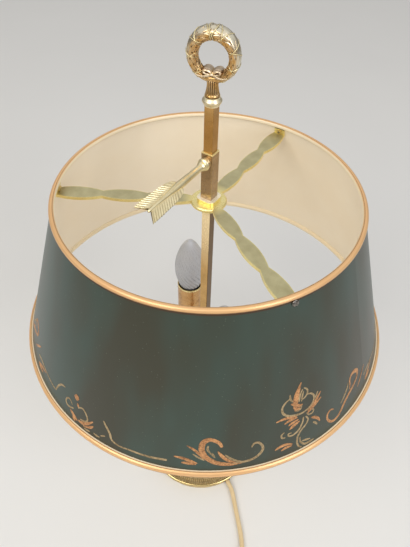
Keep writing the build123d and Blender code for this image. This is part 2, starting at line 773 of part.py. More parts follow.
def shade_spider():
    """Casting that carries the shade: hub with a square collar and three wavy arms turned up at the wall."""
    hub = turned(
        (0, sleeve_base),
        (SPIDER_BOSS_DIA / 2 - 1, sleeve_base),
        (SPIDER_BOSS_DIA / 2, sleeve_base + 1),
        (SPIDER_BOSS_DIA / 2, spider_base),
        (SPIDER_HUB_DIA / 2, spider_base),
        (SPIDER_HUB_DIA / 2, spider_top - 0.8),
        (SPIDER_HUB_DIA / 2 - 0.8, spider_top),
        (0, spider_top),
    )
    hub += square_bar(SPIDER_COLLAR_SIDE, spider_top - 1, spider_top + SPIDER_COLLAR_RISE, corner=4.5)
    wall = shade_cone(-SHEET / 2, spider_base, tab_top)
    wall_inside = shade_cone(-SHEET / 2 - TAB_THICK, spider_base - 1, tab_top + 1)
    arm = Pos(0, 0, spider_base) * extrude(spider_arm_outline(), SPIDER_THICK)
    tab_block = Pos(sheet_radius(spider_base), 0, (spider_base + tab_top) / 2) * Box(
        6 * TAB_THICK, TAB_WIDTH, tab_top - spider_base
    )
    arm = (arm & wall) + (tab_block & (wall - wall_inside))
    for n in range(SPIDER_ARMS):
        hub += Rot(0, 0, SPIDER_TURN + 360 / SPIDER_ARMS * n) * arm
    hub -= square_bar(SLEEVE_SIDE, sleeve_base - 1, sleeve_top)
    return hub - screw_holes()


def shade_screws():
    """One cheese-head screw through the wall and tab at each arm."""
    screws = Part()
    head = 1.6
    shank = SHEET / 2 + TAB_THICK + 2.2
    for n in range(SPIDER_ARMS):
        screw = Pos(0, 0, -shank) * extrude(Circle(SCREW_DIA / 2), shank + SHEET / 2)
        screw += turned(
            (0, SHEET / 2),
            (SCREW_HEAD_DIA / 2, SHEET / 2),
            (SCREW_HEAD_DIA / 2, SHEET / 2 + head * 0.5),
            (0, SHEET / 2 + head, -0.35),
        )
        screw -= Pos(0, 0, SHEET / 2 + head) * Box(SCREW_HEAD_DIA, 0.7, head)
        screws += screw_plane(n) * screw
    return screws


def shade_nuts():
    """A small hexagon nut on each screw, against the tab."""
    nuts = Part()
    thick = 1.6
    face = -SHEET / 2 - TAB_THICK - FIT
    for n in range(SPIDER_ARMS):
        nut = Pos(0, 0, face - thick) * extrude(RegularPolygon(SCREW_NUT_FLATS / 2, 6, major_radius=False), thick)
        nuts += screw_plane(n) * (nut - Cylinder(SCREW_DIA / 2 + FIT, 8 * TAB_THICK))
    return nuts


def sliding_sleeve():
    """Square tube that slides on the rod, drilled for the key."""
    bore = ROD_SIDE + 2 * SLIDE_FIT
    sleeve = square_bar(SLEEVE_SIDE, sleeve_base, sleeve_top, corner=0.5)
    sleeve -= square_bar(bore, sleeve_base - 1, sleeve_top + 1)
    hole = Pos(0, -SLEEVE_SIDE / 2, key_height) * Cylinder(KEY_SCREW_DIA / 2 + FIT, 6, rotation=(90, 0, 0))
    return sleeve - hole


def key_plane(distance):
    """Plane across the arrow at a distance from the rod's axis, facing away from the rod."""
    return Plane(origin=(0, -distance, key_height), z_dir=(0, -1, 0), x_dir=(1, 0, 0))


def key_boss():
    """Turned boss brazed on the sleeve, threaded for the key."""
    radius, bore = KEY_BOSS_DIA / 2, KEY_SCREW_DIA / 2 + FIT
    boss = turned(
        (bore, 0),
        (radius - 0.25, 0),
        (radius - 0.25, KEY_BOSS_LENGTH * 0.55, -0.25),
        (radius - 1.1, KEY_BOSS_LENGTH, -0.3),
        (bore, KEY_BOSS_LENGTH),
    )
    return key_plane(SLEEVE_SIDE / 2) * boss


def fletching():
    """Flat outline of the two feathers, x across and y towards the tail, with a saw of barbs down each edge."""
    notch = FLETCH_LENGTH - ARROW_NOTCH
    step = (FLETCH_LENGTH - 4.0) / BARBS
    edge = [(KEY_SHAFT_DIA / 2 - 0.3, 0.0)]
    for n in range(BARBS):
        width = FLETCH_FRONT + (FLETCH_BACK - FLETCH_FRONT) * (n + 1) / BARBS
        edge.append((width / 2 - 1.5, 4.0 + step * n))
        edge.append((width / 2, 4.0 + step * (n + 0.9)))
    tail = [(0.0, notch)]
    left = [(-x, y) for x, y in reversed(edge)]
    return make_face(Polyline(*edge, *tail, *left, close=True))


def arrow_key():
    """Clamp screw cast as an arrow: threaded shank, rings, shaft and feathers."""
    ring, shaft = KEY_RING_DIA / 2, KEY_SHAFT_DIA / 2
    tip = ROD_SIDE / 2 + SLIDE_FIT
    face = SLEEVE_SIDE / 2 + KEY_BOSS_LENGTH + GAP
    key = key_plane(0) * turned(
        (0, tip),
        (KEY_SCREW_DIA / 2 - 0.5, tip),
        (KEY_SCREW_DIA / 2, tip + 0.5),
        (KEY_SCREW_DIA / 2, face),
        (ring - 0.6, face),
        (ring - 0.6, face + 1.8, -0.6),
        (ring - 1.8, face + 2.4),
        (ring - 1.2, face + 3.2),
        (ring - 1.2, face + 4.6, -0.5),
        (shaft, face + 5.4),
        (shaft - 0.3, fletch_start - 6, 0.2),
        (shaft, fletch_start),
        (shaft * 0.8, ARROW_LENGTH - ARROW_NOTCH - 1.5),
        (0, ARROW_LENGTH - ARROW_NOTCH),
    )
    feather_plane = Plane(
        origin=(0, -fletch_start, key_height),
        x_dir=(cos(radians(KEY_TILT)), 0, sin(radians(KEY_TILT))),
        z_dir=(-sin(radians(KEY_TILT)), 0, cos(radians(KEY_TILT))),
    )
    drawn = Rot(0, 0, 180) * fletching()
    feathers = feather_plane * Pos(0, 0, -FLETCH_THICK / 2) * extrude(drawn, FLETCH_THICK)
    return key + feathers


# ---------------------------------------------------------------- cord, switch and plug
def cord():
    """Cord from inside its bush along the table to the switch."""
    inside = polar(foot_radius - BUSH_LENGTH, CORD_EXIT_TURN, CORD_EXIT_HEIGHT)
    held = switch_inlet + switch_way * (SWITCH_WALL + 2)
    path, radii = route_path([inside, *ROUTE_TO_SWITCH, held])
    return tube_along(path, cord_radius), path, radii


def cord_to_coil():
    held = switch_outlet - switch_way * (SWITCH_WALL + 2)
    path, radii = route_path([held, *ROUTE_TO_COIL])
    return tube_along(path, cord_radius), path, radii


def cord_to_plug():
    path, radii = route_path(ROUTE_TO_PLUG)
    return tube_along(path, cord_radius), path, radii


def cord_coil():
    """Outer shape of the wound cord: a full lower layer with a narrower one on it."""
    step = coil_inner + COIL_ROWS_ABOVE * COIL_PITCH
    outer = coil_inner + COIL_ROWS_BELOW * COIL_PITCH
    soft = cord_radius * 0.6
    return Pos(*COIL_CENTRE) * turned(
        (coil_inner, soft),
        (coil_inner + soft, 0, -soft * QUARTER_BOW * sqrt(2)),
        (outer - soft, 0),
        (outer, soft, -soft * QUARTER_BOW * sqrt(2)),
        (outer, COIL_PITCH - soft),
        (outer - soft, COIL_PITCH, -soft * QUARTER_BOW * sqrt(2)),
        (step, COIL_PITCH),
        (step, 2 * COIL_PITCH - soft),
        (step - soft, 2 * COIL_PITCH, -soft * QUARTER_BOW * sqrt(2)),
        (coil_inner + soft, 2 * COIL_PITCH),
        (coil_inner, 2 * COIL_PITCH - soft, -soft * QUARTER_BOW * sqrt(2)),
    )


def in_switch(solid):
    """Places a piece made with its length along X and its middle on the Z axis."""
    middle = (switch_inlet + switch_outlet) / 2
    return Pos(middle.X, middle.Y, 0) * Rot(0, 0, SWITCH_TURN) * solid


def switch_case(low, high):
    """The switch housing between two heights: rounded plan, domed back, hollow, with a hole for the cord."""
    plan = RectangleRounded(SWITCH_LENGTH, SWITCH_WIDTH, SWITCH_WIDTH * 0.32)
    outside = fillet(extrude(plan, SWITCH_HEIGHT).faces().sort_by(Axis.Z)[-1].edges(), 5.0)
    room = Pos(0, 0, SWITCH_WALL) * extrude(
        RectangleRounded(SWITCH_LENGTH - 4 * SWITCH_WALL, SWITCH_WIDTH - 2 * SWITCH_WALL, 5.0),
        SWITCH_HEIGHT - 2.4 * SWITCH_WALL,
    )
    cord_way = Pos(0, 0, SWITCH_CORD_HEIGHT) * Cylinder(cord_radius + SEAT, SWITCH_LENGTH + 2, rotation=(0, 90, 0))
    band = Pos(0, 0, (low + high) / 2) * Box(SWITCH_LENGTH + 2, SWITCH_WIDTH + 2, high - low)
    return (outside & band) - room - cord_way


def pivot_height():
    return SWITCH_HEIGHT - 3.4


def pivot_hole():
    return Pos(0, 0, pivot_height()) * Cylinder(PIVOT_DIA / 2 + FIT, SWITCH_WIDTH, rotation=(90, 0, 0))


def switch_posts(radius, low, high):
    """A round bar at each of the two screws that hold the shells together."""
    posts = Part()
    for side in (-1, 1):
        posts += Pos(side * SWITCH_SCREW_OFFSET, 0, 0) * disc(radius, low, high)
    return posts


def switch_lower():
    """Lower shell with a counterbored post for each screw."""
    lower = switch_case(0, SWITCH_SPLIT) + switch_posts(SWITCH_POST_DIA / 2, SWITCH_WALL / 2, SWITCH_SPLIT)
    lower -= switch_posts(SWITCH_SCREW_DIA, -1, SWITCH_WALL)
    return in_switch(lower - switch_posts(SWITCH_SCREW_DIA / 2, 0, SWITCH_SPLIT + 1))


def switch_screws():
    """Two pan-head screws from below."""
    screws = switch_posts(SWITCH_SCREW_DIA / 2, SWITCH_WALL, SWITCH_HEIGHT - 2.5 * SWITCH_WALL)
    screws += switch_posts(SWITCH_SCREW_DIA - SEAT, SWITCH_WALL - 1.4, SWITCH_WALL)
    slots = Part()
    for side in (-1, 1):
        slots += Pos(side * SWITCH_SCREW_OFFSET, 0, SWITCH_WALL - 1.4) * Box(2 * SWITCH_SCREW_DIA, 0.6, 1.2)
    return in_switch(screws - slots)


def switch_upper():
    """Upper shell with the rocker's window and two ears for its pivot."""
    upper = switch_case(SWITCH_SPLIT, SWITCH_HEIGHT)
    window = Pos(0, 0, SWITCH_HEIGHT) * Box(ROCKER_LENGTH + 2 * GAP + 1, ROCKER_WIDTH + 2 * GAP, 2 * ROCKER_DEPTH)
    ears = Part()
    for side in (-1, 1):
        ear_middle = side * (ROCKER_WIDTH / 2 + GAP + 1.2)
        ears += Pos(0, ear_middle, pivot_height() - 0.6) * Box(6, 2.4, 6)
    upper += switch_posts(SWITCH_POST_DIA / 2, SWITCH_SPLIT, SWITCH_HEIGHT - SWITCH_WALL)
    upper -= switch_posts(SWITCH_SCREW_DIA / 2, SWITCH_SPLIT - 1, SWITCH_HEIGHT - 2.5 * SWITCH_WALL)
    return in_switch(upper - window + ears - pivot_hole())


def switch_rocker():
    """Rocker with two finger faces, tilted to one side."""
    half, low = ROCKER_LENGTH / 2, -4.0
    side = make_face(
        Polyline((-half, low), (half, low), (half, 4.4), (0, 3.0), (-half, 4.4), close=True)
    )
    rocker = Plane.XZ * extrude(side, ROCKER_WIDTH / 2, both=True)
    rocker -= Cylinder(PIVOT_DIA / 2 + FIT, SWITCH_WIDTH, rotation=(90, 0, 0))
    return in_switch(Pos(0, 0, pivot_height()) * Rot(0, ROCKER_TILT, 0) * rocker)


def switch_pivot():
    length = ROCKER_WIDTH + 2 * GAP + 4.8
    return in_switch(Pos(0, 0, pivot_height()) * Cylinder(PIVOT_DIA / 2, length, rotation=(90, 0, 0)))


plug_start = Vector(*ROUTE_TO_PLUG[-1])
plug_way = (plug_start - Vector(*ROUTE_TO_PLUG[-2]))
PLUG_TURN = degrees(atan2(plug_way.Y, plug_way.X))


def on_plug(solid):
    """Places a piece made along +X from the cord's end."""
    return Pos(*plug_start) * Rot(0, 0, PLUG_TURN) * solid


def plug_boot():
    """Tapered strain relief with ribs, face to face with the cord's end and the plug."""
    small, large = cord_radius + 0.8, PLUG_THICK / 2 - 0.6
    stations = [(0, 0), (small, 0)]
    ribs = 5
    pitch = PLUG_BOOT_LENGTH / ribs
    for n in range(ribs):
        radius = small + (large - small) * (n + 1) / ribs
        stations.append((radius, pitch * (n + 0.35)))
        stations.append((radius, pitch * (n + 0.75)))
        if n < ribs - 1:
            stations.append((radius - 0.7, pitch * (n + 0.8)))
            stations.append((radius - 0.7, pitch * (n + 1)))
    stations += [(large, PLUG_BOOT_LENGTH), (0, PLUG_BOOT_LENGTH)]
    return on_plug(Rot(0, 90, 0) * turned(*stations))


def plug_body():
    """Flat moulded body that swells from the boot to the face."""
    back = Plane(origin=(PLUG_BOOT_LENGTH, 0, 0), x_dir=(0, 1, 0), z_dir=(1, 0, 0))
    middle = back.offset(PLUG_LENGTH * 0.55)
    front = back.offset(PLUG_LENGTH)
    body = loft([
        back * RectangleRounded(PLUG_THICK + 3, PLUG_THICK - 1.2, PLUG_THICK * 0.4),
        middle * RectangleRounded(PLUG_WIDTH - 1.5, PLUG_THICK, PLUG_THICK * 0.45),
        front * RectangleRounded(PLUG_WIDTH, PLUG_THICK, PLUG_THICK * 0.45),
    ])
    return on_plug(body)


def plug_pins():
    pins = Part()
    face = PLUG_BOOT_LENGTH + PLUG_LENGTH
    for side in (-1, 1):
        pin = turned(
            (0, 0),
            (PIN_DIA / 2, 0),
            (PIN_DIA / 2, PIN_LENGTH - PIN_DIA / 2),
            (0, PIN_LENGTH, -PIN_DIA / 2 * QUARTER_BOW),
        )
        pins += Pos(face, side * PIN_SPACING / 2, 0) * Rot(0, 90, 0) * pin
    return on_plug(pins)


# ---------------------------------------------------------------- every node
def nodes():
    """Name and solid of every sub-part."""
    found = {
        "base_dish": base_dish(),
        "felt_pad": felt_pad(),
        "base_plate": base_plate(),
        "base_weight": base_weight(),
        "cord_bush": cord_bush(),
        "base_nut": base_nut(),
        "base_washer": base_washer(),
        "centre_tube": centre_tube(),
        "column_foot": column_foot(),
        "column_shaft": column_shaft(),
        "column_capital": column_capital(),
        "arm_hub": arm_hub(),
        "rod_socket": rod_socket(),
        "centre_rod": centre_rod(),
        "finial_collar": finial_collar(),
        "finial": finial(),
        "lamp_wires": lamp_wires(),
        "shade_shell": shade_shell(),
        "shade_top_roll": rim_roll(top_roll_radius, top_roll_height, TOP_ROLL),
        "shade_bottom_roll": rim_roll(bottom_roll_radius, bottom_roll_height, BOTTOM_ROLL),
        "shade_spider": shade_spider(),
        "shade_screws": shade_screws(),
        "shade_nuts": shade_nuts(),
        "sliding_sleeve": sliding_sleeve(),
        "key_boss": key_boss(),
        "arrow_key": arrow_key(),
        "cord_coil": cord_coil(),
        "switch_lower": switch_lower(),
        "switch_upper": switch_upper(),
        "switch_rocker": switch_rocker(),
        "switch_pivot": switch_pivot(),
        "switch_screws": switch_screws(),
        "plug_boot": plug_boot(),
        "plug_body": plug_body(),
        "plug_pins": plug_pins(),
    }
    per_candle = [candle_arm, drip_pan, candle_cup, candle_sleeve, lampholder, bulb_cap, bulb_glass]
    for make in per_candle:
        for number in (0, 1):
            found[f"{make.__name__}_{number + 1}"] = make(number)
    for make in (cord, cord_to_coil, cord_to_plug):
        solid, path, radii = make()
        found[make.__name__] = solid
        expected = pi * cord_radius**2 * path.length
        print(f"{make.__name__}: length {path.length:.1f}, volume {solid.volume:.0f} of {expected:.0f},",
              "radii", [round(r, 1) for r in radii])
    return found


def main():
    os.makedirs("parts", exist_ok=True)
    for name, solid in nodes().items():
        export_step(solid, f"parts/{name}.step")


main()
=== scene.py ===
"""Dresses the bouillotte lamp: cords, painted shade with gold scrollwork, laurel finial, feathered
clamp key, twisted candle bulbs, metal finishes, and the stage. Lengths are in metres."""

import json
from math import atan2, ceil, copysign, cos, degrees, exp, hypot, pi, radians, sin, sqrt

import bpy
from bpy.props import FloatProperty, FloatVectorProperty, IntProperty, PointerProperty
from mathutils import Matrix, Vector


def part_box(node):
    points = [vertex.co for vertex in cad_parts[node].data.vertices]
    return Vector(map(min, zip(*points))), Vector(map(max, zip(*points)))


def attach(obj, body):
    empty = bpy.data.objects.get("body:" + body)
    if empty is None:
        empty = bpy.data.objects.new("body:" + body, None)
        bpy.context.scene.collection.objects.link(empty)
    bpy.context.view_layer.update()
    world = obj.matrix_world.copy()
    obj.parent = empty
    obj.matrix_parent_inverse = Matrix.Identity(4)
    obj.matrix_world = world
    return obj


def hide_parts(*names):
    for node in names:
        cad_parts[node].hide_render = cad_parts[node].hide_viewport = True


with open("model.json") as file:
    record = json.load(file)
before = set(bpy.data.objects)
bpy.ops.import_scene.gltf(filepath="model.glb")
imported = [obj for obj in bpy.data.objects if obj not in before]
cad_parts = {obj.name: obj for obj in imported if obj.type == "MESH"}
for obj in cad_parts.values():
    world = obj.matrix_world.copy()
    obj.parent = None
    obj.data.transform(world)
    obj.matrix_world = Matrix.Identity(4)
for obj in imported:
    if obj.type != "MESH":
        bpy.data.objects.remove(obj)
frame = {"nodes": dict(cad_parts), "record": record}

bl_info = {
    "name": "Bouillotte Lamp Dressing",
    "version": (1, 0, 0),
    "blender": (4, 5, 0),
    "location": "3D Viewport > Sidebar > Lamp",
    "description": "Builds the visible pieces and finishes of a bouillotte lamp on its CAD frame",
    "category": "Object",
}

MM = 0.001

# Shade: the sheet's outer face is a cone between the middles of the two gold rims
LOW_RIM, TOP_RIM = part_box("shade_bottom_roll"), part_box("shade_top_roll")
LOW_ROLL = LOW_RIM[1][2] - LOW_RIM[0][2]
TOP_ROLL = TOP_RIM[1][2] - TOP_RIM[0][2]
SHADE_LOW = LOW_RIM[0][2]
LOW_MIDDLE = (LOW_RIM[1][0] - LOW_ROLL / 2, LOW_RIM[1][2] - LOW_ROLL / 2)      # radius and height
TOP_MIDDLE = (TOP_RIM[1][0] - TOP_ROLL / 2, TOP_RIM[1][2] - TOP_ROLL / 2)
SHEET_PROUD = 0.315 * MM            # from the sheet's middle to its outer face, level
SHADE_SPREAD = (LOW_MIDDLE[0] - TOP_MIDDLE[0]) / (TOP_MIDDLE[1] - LOW_MIDDLE[1])
FIRST_SPRAY = radians(-29)          # azimuth of the large spray at the front
SMALL_SPRAY_LEAN = radians(-5.5)    # each small spray stands left of the middle between two large ones
BROAD_STROKE = 2.0                  # mm; broader strokes are filled petals, narrower ones are drawn lines

# Finial
WREATH_CENTRE = Vector((0, 0, 596.2 * MM))
WREATH_TURN = radians(16)
WREATH_OUTER = 19.8 * MM            # radius round the outside, under the leaves
WREATH_FOOT = 3.3 * MM              # half the ring's thickness at its foot
WREATH_CROWN = 4.8 * MM             # and at its top
WREATH_DEPTH = 1.4                  # depth of its section over its thickness
LEAF_WIDTH = 4.6 * MM
WINDINGS = 8                        # of a ribbon round the ring's section, if it went the full circle
RIBBON_CROSSING = radians(63)       # one of the turns from the foot where two ribbons cross on the front
NECK_BASE = 566 * MM

# Clamp key
KEY_HEIGHT = 511 * MM
KEY_TILT = radians(-23)
FEATHER_START = 44.3 * MM           # distances from the rod's axis
ARROW_END = 87.3 * MM
ARROW_NOTCH = 4.8 * MM              # depth of the swallow tail
QUILL = 1.2 * MM                    # half width of the quill, where the feathers start

# Candles
CANDLE_RADIUS = 50 * MM
CANDLE_TURN = radians(144)
CAP_TOP = 300 * MM
BULB_BELLY = 336.2 * MM
BULB_TIP = 378 * MM
BULB_RADIUS = 17.5 * MM
CAP_RADIUS = 6.95 * MM

# Shade carrier, and the rod that it slides on
COLLAR_FOOT = 473 * MM              # the square collar stands on the hub from here
COLLAR_REACH = 14 * MM              # and stays this near to the axis
HUB_POLISH = (15 * MM, 24 * MM)     # distances from the axis over which the hub's polish ends
ARM_TURN = radians(90.0)
SCREW_HEIGHT = 473.7 * MM
ROD_PAINTED_SHADE = (478 * MM, 462 * MM)    # heights between which painted shade darkens the rod's right side
ROD_PAINTED_REFLECTION = (385 * MM, 452 * MM, 466 * MM)   # where the painted reflection on its front fades in, is full, and ends

# Stage: the camera is turned about the upright, pitched, and rolled
CAMERA_PLACE = (0.183643, -0.293891, 0.739887)
CAMERA_TURN = radians(32.2174)
CAMERA_PITCH = radians(43.4945)
CAMERA_ROLL = radians(1.7812)
LIGHT_TARGET = Vector((0, 0, 0.4))
LIGHT_DISTANCE = 2.6                # of both lights from the shade

# Cord
CORD_DIAMETER = 6.2 * MM
COIL_CENTRE = (142.1 * MM, -240.0 * MM)
ROUTE_TO_SWITCH = [
    (0.0497, -0.0248, 0.0051), (0.0780, -0.0389, 0.0051), (0.0877, -0.0472, 0.0041),
    (0.0987, -0.0592, 0.00315), (0.1113, -0.0725, 0.0031), (0.1253, -0.0874, 0.0031),
    (0.1355, -0.1017, 0.0032), (0.1406, -0.1114, 0.0052), (0.1446, -0.1207, 0.0074),
    (0.1495, -0.1326, 0.0075),
]
ROUTE_TO_COIL = [
    (0.1702, -0.1821, 0.0075), (0.1752, -0.1947, 0.0072), (0.1793, -0.2046, 0.0046),
    (0.1833, -0.2156, 0.0032), (0.1866, -0.2265, 0.0031),
]
ROUTE_TO_PLUG = [
    (0.1330, -0.2793, 0.0093), (0.1223, -0.2768, 0.00935), (0.1107, -0.2737, 0.0092),
    (0.0993, -0.2700, 0.0079), (0.0882, -0.2655, 0.0056), (0.0774, -0.2602, 0.0046),
    (0.0671, -0.2544, 0.0057), (0.0582, -0.2494, 0.0071), (0.0513, -0.2453, 0.0071),
]


# ---------------------------------------------------------------- settings
def colour(code):
    """Linear RGBA of an sRGB hex colour."""
    channels = [int(code[start:start + 2], 16) / 255 for start in (1, 3, 5)]
    return tuple(c / 12.92 if c <= 0.04045 else ((c + 0.055) / 1.055) ** 2.4 for c in channels) + (1.0,)


def tone(name, code, description):
    """A colour setting whose default is a hex colour."""
    return FloatVectorProperty(name=name, description=description, default=colour(code), size=4, min=0.0,
                               max=1.0, subtype="COLOR")


class LampFinishSettings(bpy.types.PropertyGroup):
    """Colours, wear and texture of the finishes."""
    enamel: tone("Enamel", "#24382F", "Green of the shade's outside")
    # the paler clouds are partly painted reflection bands
    enamel_cloud: tone("Enamel clouds", "#384B42", "Paler green in broad clouds over it")
    cream: tone("Cream", "#FAF0DC", "Coat of the shade's inside")
    rim: tone("Rims", "#E3AE76", "Bronze powder paint on the two rims")
    sheath: tone("Cord", "#EAD2A6", "Sheath of the mains cord")
    tarnish: FloatProperty(name="Tarnish", description="How much of the brass is dulled to olive brown",
                           default=0.42, min=0.0, max=1.0, subtype="FACTOR")
    fleck: FloatProperty(name="Fleck", description="Size of the pale specks in the green paint",
                         default=0.28 * MM, min=0.0, unit="LENGTH")
    # the bright line along brass edges is partly wear and partly a painted highlight
    edge: FloatProperty(name="Polished edge", description="Width of the bright worn line along brass edges",
                        default=0.75 * MM, min=0.0, unit="LENGTH")


class LampOrnamentSettings(bpy.types.PropertyGroup):
    """Gold brushwork on the shade."""
    thickness: FloatProperty(name="Paint thickness", description="Height of a stroke's ridge above the paint",
                             default=0.13 * MM, min=0.0, unit="LENGTH")
    step: FloatProperty(name="Step", description="Length of one facet along a stroke", default=0.8 * MM,
                        min=0.1 * MM, unit="LENGTH")
    sprays: IntProperty(name="Sprays", description="Number of large sprays round the shade", default=3, min=1)


class LampFinialSettings(bpy.types.PropertyGroup):
    """Laurel wreath on top of the rod."""
    rows: IntProperty(name="Leaf rows", description="Rows of leaves up each half of the wreath", default=9,
                      min=4)
    around: IntProperty(name="Leaves in a row", description="Leaves round the wreath's section", default=8,
                        min=3)
    leaf: FloatProperty(name="Leaf length", description="Length of a laurel leaf", default=12.0 * MM,
                        min=1.0 * MM, unit="LENGTH")
    ribbon: FloatProperty(name="Ribbon", description="Width of the ribbon wound over the leaves",
                          default=0.75 * MM, min=0.2 * MM, unit="LENGTH")


class LampArrowSettings(bpy.types.PropertyGroup):
    """Feathers of the clamp key."""
    barbs: IntProperty(name="Barbs", description="Barbs along each feather", default=14, min=3)
    groove: FloatProperty(name="Barb depth", description="Depth of the grooves between barbs",
                          default=0.6 * MM, min=0.0, unit="LENGTH")


class LampBulbSettings(bpy.types.PropertyGroup):
    """Twisted glass of the candle bulbs."""
    ribs: IntProperty(name="Ribs", description="Ribs round one bulb", default=20, min=3)
    twist: FloatProperty(name="Twist", description="Turn of a rib from neck to tip", default=radians(190),
                         subtype="ANGLE")
    depth: FloatProperty(name="Rib depth", description="How deep the grooves between ribs are",
                         default=1.3 * MM, min=0.0, unit="LENGTH")


class LampStageSettings(bpy.types.PropertyGroup):
    """Floor, lights and camera."""
    key_power: FloatProperty(name="Key light", description="Power of the large soft light", default=31.0,
                             min=0.0, unit="POWER")
    fill_power: FloatProperty(name="Fill light", description="Power of the tall light on the right",
                              default=28.0, min=0.0, unit="POWER")
    lens: FloatProperty(name="Lens", description="Focal length of the camera", default=32.44, min=1.0,
                        unit="CAMERA")
    floor: FloatProperty(name="Floor", description="Side of the square floor", default=8.0, min=1.0,
                         unit="LENGTH")


# ---------------------------------------------------------------- shared helpers
def node(tree, kind, inputs=None, **settings):
    """Adds one shader node, sets its options, and fills its inputs.

    An input takes a value, a hex colour, a socket, or a node, which stands for its first output in use."""
    made = tree.nodes.new("ShaderNode" + kind)
    for name, value in settings.items():
        setattr(made, name, value)
    for name, value in (inputs or {}).items():
        if isinstance(value, str):
            value = colour(value)
        if isinstance(value, bpy.types.Node):
            value = next(output for output in value.outputs if output.enabled)
        if isinstance(value, bpy.types.NodeSocket):
            tree.links.new(value, made.inputs[name])
        else:
            made.inputs[name].default_value = value
    return made


def per_mm(size):
    """Texture scale in object coordinates for a feature of that many millimetres."""
    return 1 / (size * MM)


def new_material(name):
    """An empty node material with its output, and the object coordinates that its textures use."""
    material = bpy.data.materials.new(name)
    material.use_nodes = True
    tree = material.node_tree
    tree.nodes.clear()
    return material, tree, node(tree, "TexCoord").outputs["Object"]


def finish_material(material, inputs, bump=None):
    """Ends a material in one Principled shader; bump is a height, its strength, and its depth in mm."""
    tree = material.node_tree
    if bump:
        height, strength, depth = bump
        inputs["Normal"] = node(tree, "Bump", {"Height": height, "Strength": strength,
                                               "Distance": depth * MM})
    shader = node(tree, "BsdfPrincipled", inputs)
    node(tree, "OutputMaterial", {"Surface": shader})
    return material


def mesh_piece(name, vertices, faces, finish, body, slot):
    """Makes one smooth mesh object in a material, by name, that rides on a body; the slot argument is not
    used.
    """
    mesh = bpy.data.meshes.new(name)
    mesh.from_pydata(vertices, [], faces)
    mesh.validate()
    mesh.shade_smooth()
    mesh.materials.append(bpy.data.materials[finish])
    piece = bpy.data.objects.new(name, mesh)
    bpy.context.scene.collection.objects.link(piece)
    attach(piece, body)
    return piece


def add_grid(vertices, faces, rows, closed=False, flip=False):
    """Adds a surface through rows of points; closed joins each row's end to its start."""
    start, width = len(vertices), len(rows[0])
    for row in rows:
        vertices.extend(row)
    for r in range(len(rows) - 1):
        for c in range(width if closed else width - 1):
            near, far = start + r * width, start + (r + 1) * width
            face = (near + c, near + (c + 1) % width, far + (c + 1) % width, far + c)
            faces.append(face[::-1] if flip else face)


def ribbed_rows(sections, ribs, facets, sharpness):
    """Rows of points round the upright axis, with a groove after each rib.

    A section is its height, its radius on the ribs, its grooves' depth, and its twist."""
    rows = []
    count = ribs * facets
    for height, radius, depth, twist in sections:
        row = []
        for j in range(count):
            turn = 2 * pi * j / count
            rib = abs(sin(ribs / 2 * (turn + twist))) ** sharpness
            reach = max(0.0, radius - depth * (1 - rib))
            row.append(Vector((reach * cos(turn), reach * sin(turn), height)))
        rows.append(row)
    return rows


def smooth_path(points, step):
    """Points of a Catmull-Rom curve through tuples of any length, about a step apart."""
    path = []
    padded = [points[0], *points, points[-1]]
    for a, b, c, d in zip(padded, padded[1:], padded[2:], padded[3:]):
        count = max(2, ceil(hypot(c[0] - b[0], c[1] - b[1]) / step))
        for n in range(count):
            t = n / count
            path.append(tuple(
                0.5 * (2 * q + (r - p) * t + (2 * p - 5 * q + 4 * r - s) * t * t
                       + (3 * q - p - 3 * r + s) * t ** 3)
                for p, q, r, s in zip(a, b, c, d)))
    path.append(tuple(points[-1]))
    return path


ACROSS_BAND = (-1, -0.6, 0, 0.6, 1)     # points across a stroke or ribbon, in shares of its half width


